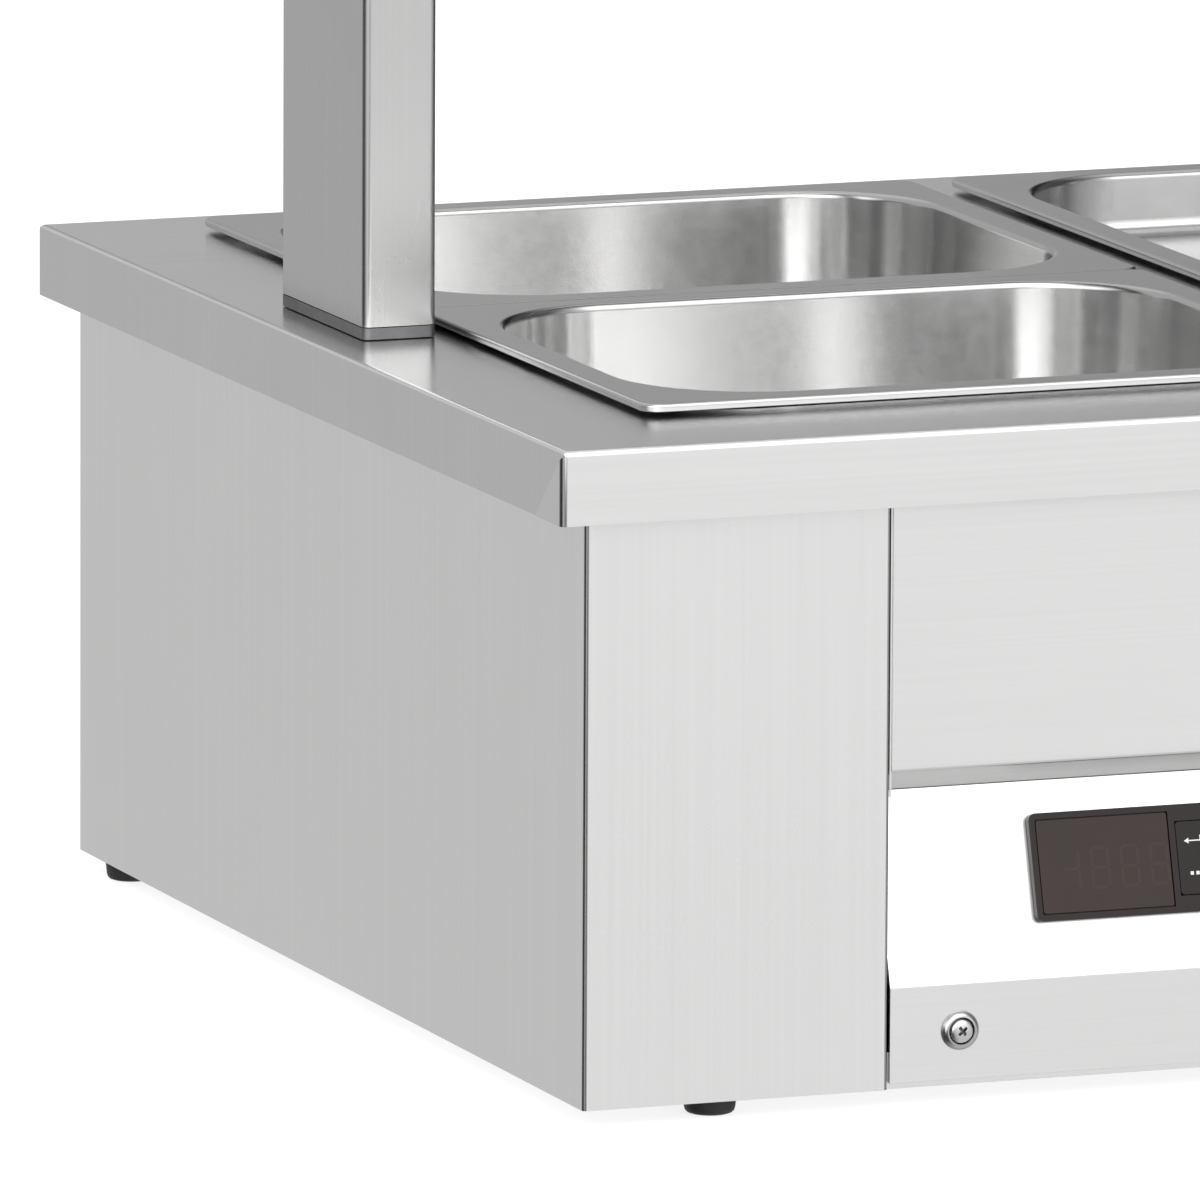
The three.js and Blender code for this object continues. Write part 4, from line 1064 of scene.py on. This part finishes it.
def lamp_ends(length, place):
    """The two ceramic caps of a lamp."""
    face, side, chamfer = LAMP_CAP_RADII
    shape = bmesh.new()
    for start in (0.0, length - LAMP_CAP):
        stop = start + LAMP_CAP
        profile = [(0, start), (face, start), (side, start + chamfer)]
        profile += [(side, stop - chamfer), (face, stop), (0, stop)]
        turned(profile, place, 32, shape)
    return shape


def lamp_filament(length, place):
    """The coiled wire between a lamp's caps."""
    loops = []
    coil = length - 2 * (LAMP_CAP + COIL_MARGIN)
    for k in range(COIL_TURNS * COIL_STEPS + 1):
        angle = 2 * math.pi * k / COIL_STEPS
        along = LAMP_CAP + COIL_MARGIN + coil * k / (COIL_TURNS * COIL_STEPS)
        out = Vector((math.cos(angle), math.sin(angle), 0))
        ring = []
        for i in range(5):
            turn = 2 * math.pi * i / 5
            across = out * (COIL_RADIUS + WIRE * math.cos(turn))
            ring.append(place @ (across + Vector((0, 0, along + WIRE * math.sin(turn)))))
        loops.append(ring)
    return loft(loops)


def make_lamp(node):
    """A quartz tube with white ceramic ends and a coiled filament in it."""
    low, high = box_mm(node)
    centre = (low + high) / 2
    length = high.x - low.x
    sideways = Matrix.Rotation(math.radians(90), 4, "Y")  # local Z becomes +X
    place = Matrix.Translation((low.x, centre.y, centre.z)) @ sideways
    start, stop = LAMP_CAP - 1, length - LAMP_CAP + 1
    profile = [(0, start), (LAMP_TUBE, start), (LAMP_TUBE, stop), (0, stop)]
    replace_node(node, turned(profile, place, 32), [quartz])
    add_piece(f"{node}_caps", lamp_ends(length, place), [ivory_plastic], node)
    add_piece(f"{node}_filament", lamp_filament(length, place), [rod_metal], node)


make_gland()
make_valve()
for side in SIDES:
    make_lamp(f"heat_lamp_{side}")


# ---------------------------------------------------------------- studio

HEADING = math.radians(20.894)  # the camera looks this far round from +Y towards +X
DIP = math.radians(9.818)
TILT = math.radians(0.263)
CAMERA_PLACE = (-3.2646, -7.4307, 1.535)
FOCAL_LENGTH = 583.95
SENSOR_WIDTH = 36.0
FARTHEST = 200.0  # in metres


def make_camera():
    ahead = Vector(
        (math.sin(HEADING) * math.cos(DIP), math.cos(HEADING) * math.cos(DIP), -math.sin(DIP))
    )
    level = Vector((math.cos(HEADING), -math.sin(HEADING), 0))
    upright = level.cross(ahead)
    right = level * math.cos(TILT) + upright * math.sin(TILT)
    up = upright * math.cos(TILT) - level * math.sin(TILT)
    camera = bpy.data.objects.new("camera", bpy.data.cameras.new("camera"))
    camera.data.sensor_width = SENSOR_WIDTH
    camera.data.lens = FOCAL_LENGTH
    camera.data.clip_end = FARTHEST
    turn = Matrix((right, up, -ahead)).transposed().to_4x4()
    camera.matrix_world = Matrix.Translation(CAMERA_PLACE) @ turn
    bpy.context.scene.collection.objects.link(camera)
    bpy.context.scene.camera = camera


# Soft discs of light or shade in the studio: direction, inner and outer half-angle, amount.
# A disc's height counts for more where its flatness is over 1, which makes it a low band.
DISCS = [
    ((0.35, -0.93, 0.13), 6, 23, 0.8, 1),  # soft box low in front
    ((0.0, -0.72, 0.69), 18, 42, 3.0, 1),  # overhead bank in front
    ((0.0, 0.3, 0.95), 25, 48, 0.3, 1),  # overhead bank behind
    ((-0.68, -0.7, 0.26), 18, 42, 2.4, 1.3),  # window at the front left
    ((-0.93, -0.36, -0.2), 42, 66, -0.92, 2.5),  # black flag at the left
    ((0.93, 0.25, 0.22), 30, 55, -0.85, 1.5),  # grey flag at the right
    ((-0.34, 0.93, -0.17), 15, 40, -0.1, 1),  # grey wall behind, left
    ((0.35, 0.92, 0.17), 12, 36, -0.34, 1),  # grey wall behind, right
]
FILL = 1.0  # the light from every direction
DARKEST = 0.02  # the discs of shade don't take it below this


def disc_light(tree, direction, disc):
    """One disc's share of the studio's light in a direction."""
    toward, inner, outer, amount, flatness = disc
    stretch = Vector((1, 1, flatness))
    tall = add_node(
        tree, "ShaderNodeVectorMath", {0: direction, 1: stretch}, operation="MULTIPLY"
    )
    unit = add_node(
        tree, "ShaderNodeVectorMath", {0: tall.outputs["Vector"]}, operation="NORMALIZE"
    )
    aim = add_node(
        tree,
        "ShaderNodeVectorMath",
        {0: unit.outputs["Vector"], 1: (Vector(toward) * stretch).normalized()},
        operation="DOT_PRODUCT",
    )
    fade = add_node(
        tree,
        "ShaderNodeMapRange",
        {
            "Value": aim.outputs["Value"],
            "From Min": math.cos(math.radians(outer)),
            "From Max": math.cos(math.radians(inner)),
            "To Min": 0.0,
            "To Max": amount,
        },
        interpolation_type="SMOOTHSTEP",
    )
    return fade.outputs["Result"]


def make_world():
    """The studio lights the object, and a plain white backdrop stands behind it."""
    world = bpy.data.worlds.new("studio")
    world.use_nodes = True
    bpy.context.scene.world = world
    tree = world.node_tree
    tree.nodes.clear()
    place = add_node(tree, "ShaderNodeTexCoord")
    total = FILL
    for disc in DISCS:
        total = maths(tree, "ADD", total, disc_light(tree, place.outputs["Generated"], disc))
    total = maths(tree, "MAXIMUM", total, DARKEST)
    studio = add_node(tree, "ShaderNodeBackground", {"Strength": total})
    backdrop = add_node(tree, "ShaderNodeBackground", {"Strength": 1.0})
    rays = add_node(tree, "ShaderNodeLightPath")
    mix = add_node(
        tree,
        "ShaderNodeMixShader",
        {0: rays.outputs["Is Camera Ray"], 1: studio.outputs[0], 2: backdrop.outputs[0]},
    )
    add_node(tree, "ShaderNodeOutputWorld", {"Surface": mix.outputs[0]})


FLOOR_SIZE = 120.0  # in metres


def make_floor():
    """A wide white floor, which the steel doesn't mirror."""
    half = FLOOR_SIZE / 2
    mesh = bpy.data.meshes.new("floor")
    corners = [(-half, -half, 0), (half, -half, 0), (half, half, 0), (-half, half, 0)]
    mesh.from_pydata(corners, [], [(0, 1, 2, 3)])
    mesh.materials.append(floor_paint("floor_paint"))
    floor = bpy.data.objects.new("floor", mesh)
    bpy.context.scene.collection.objects.link(floor)
    floor.visible_glossy = False


make_camera()
make_world()
make_floor()
bpy.context.scene.view_settings.view_transform = "Standard"
bpy.context.scene.cycles.max_bounces = 16
bpy.context.scene.cycles.glossy_bounces = 12
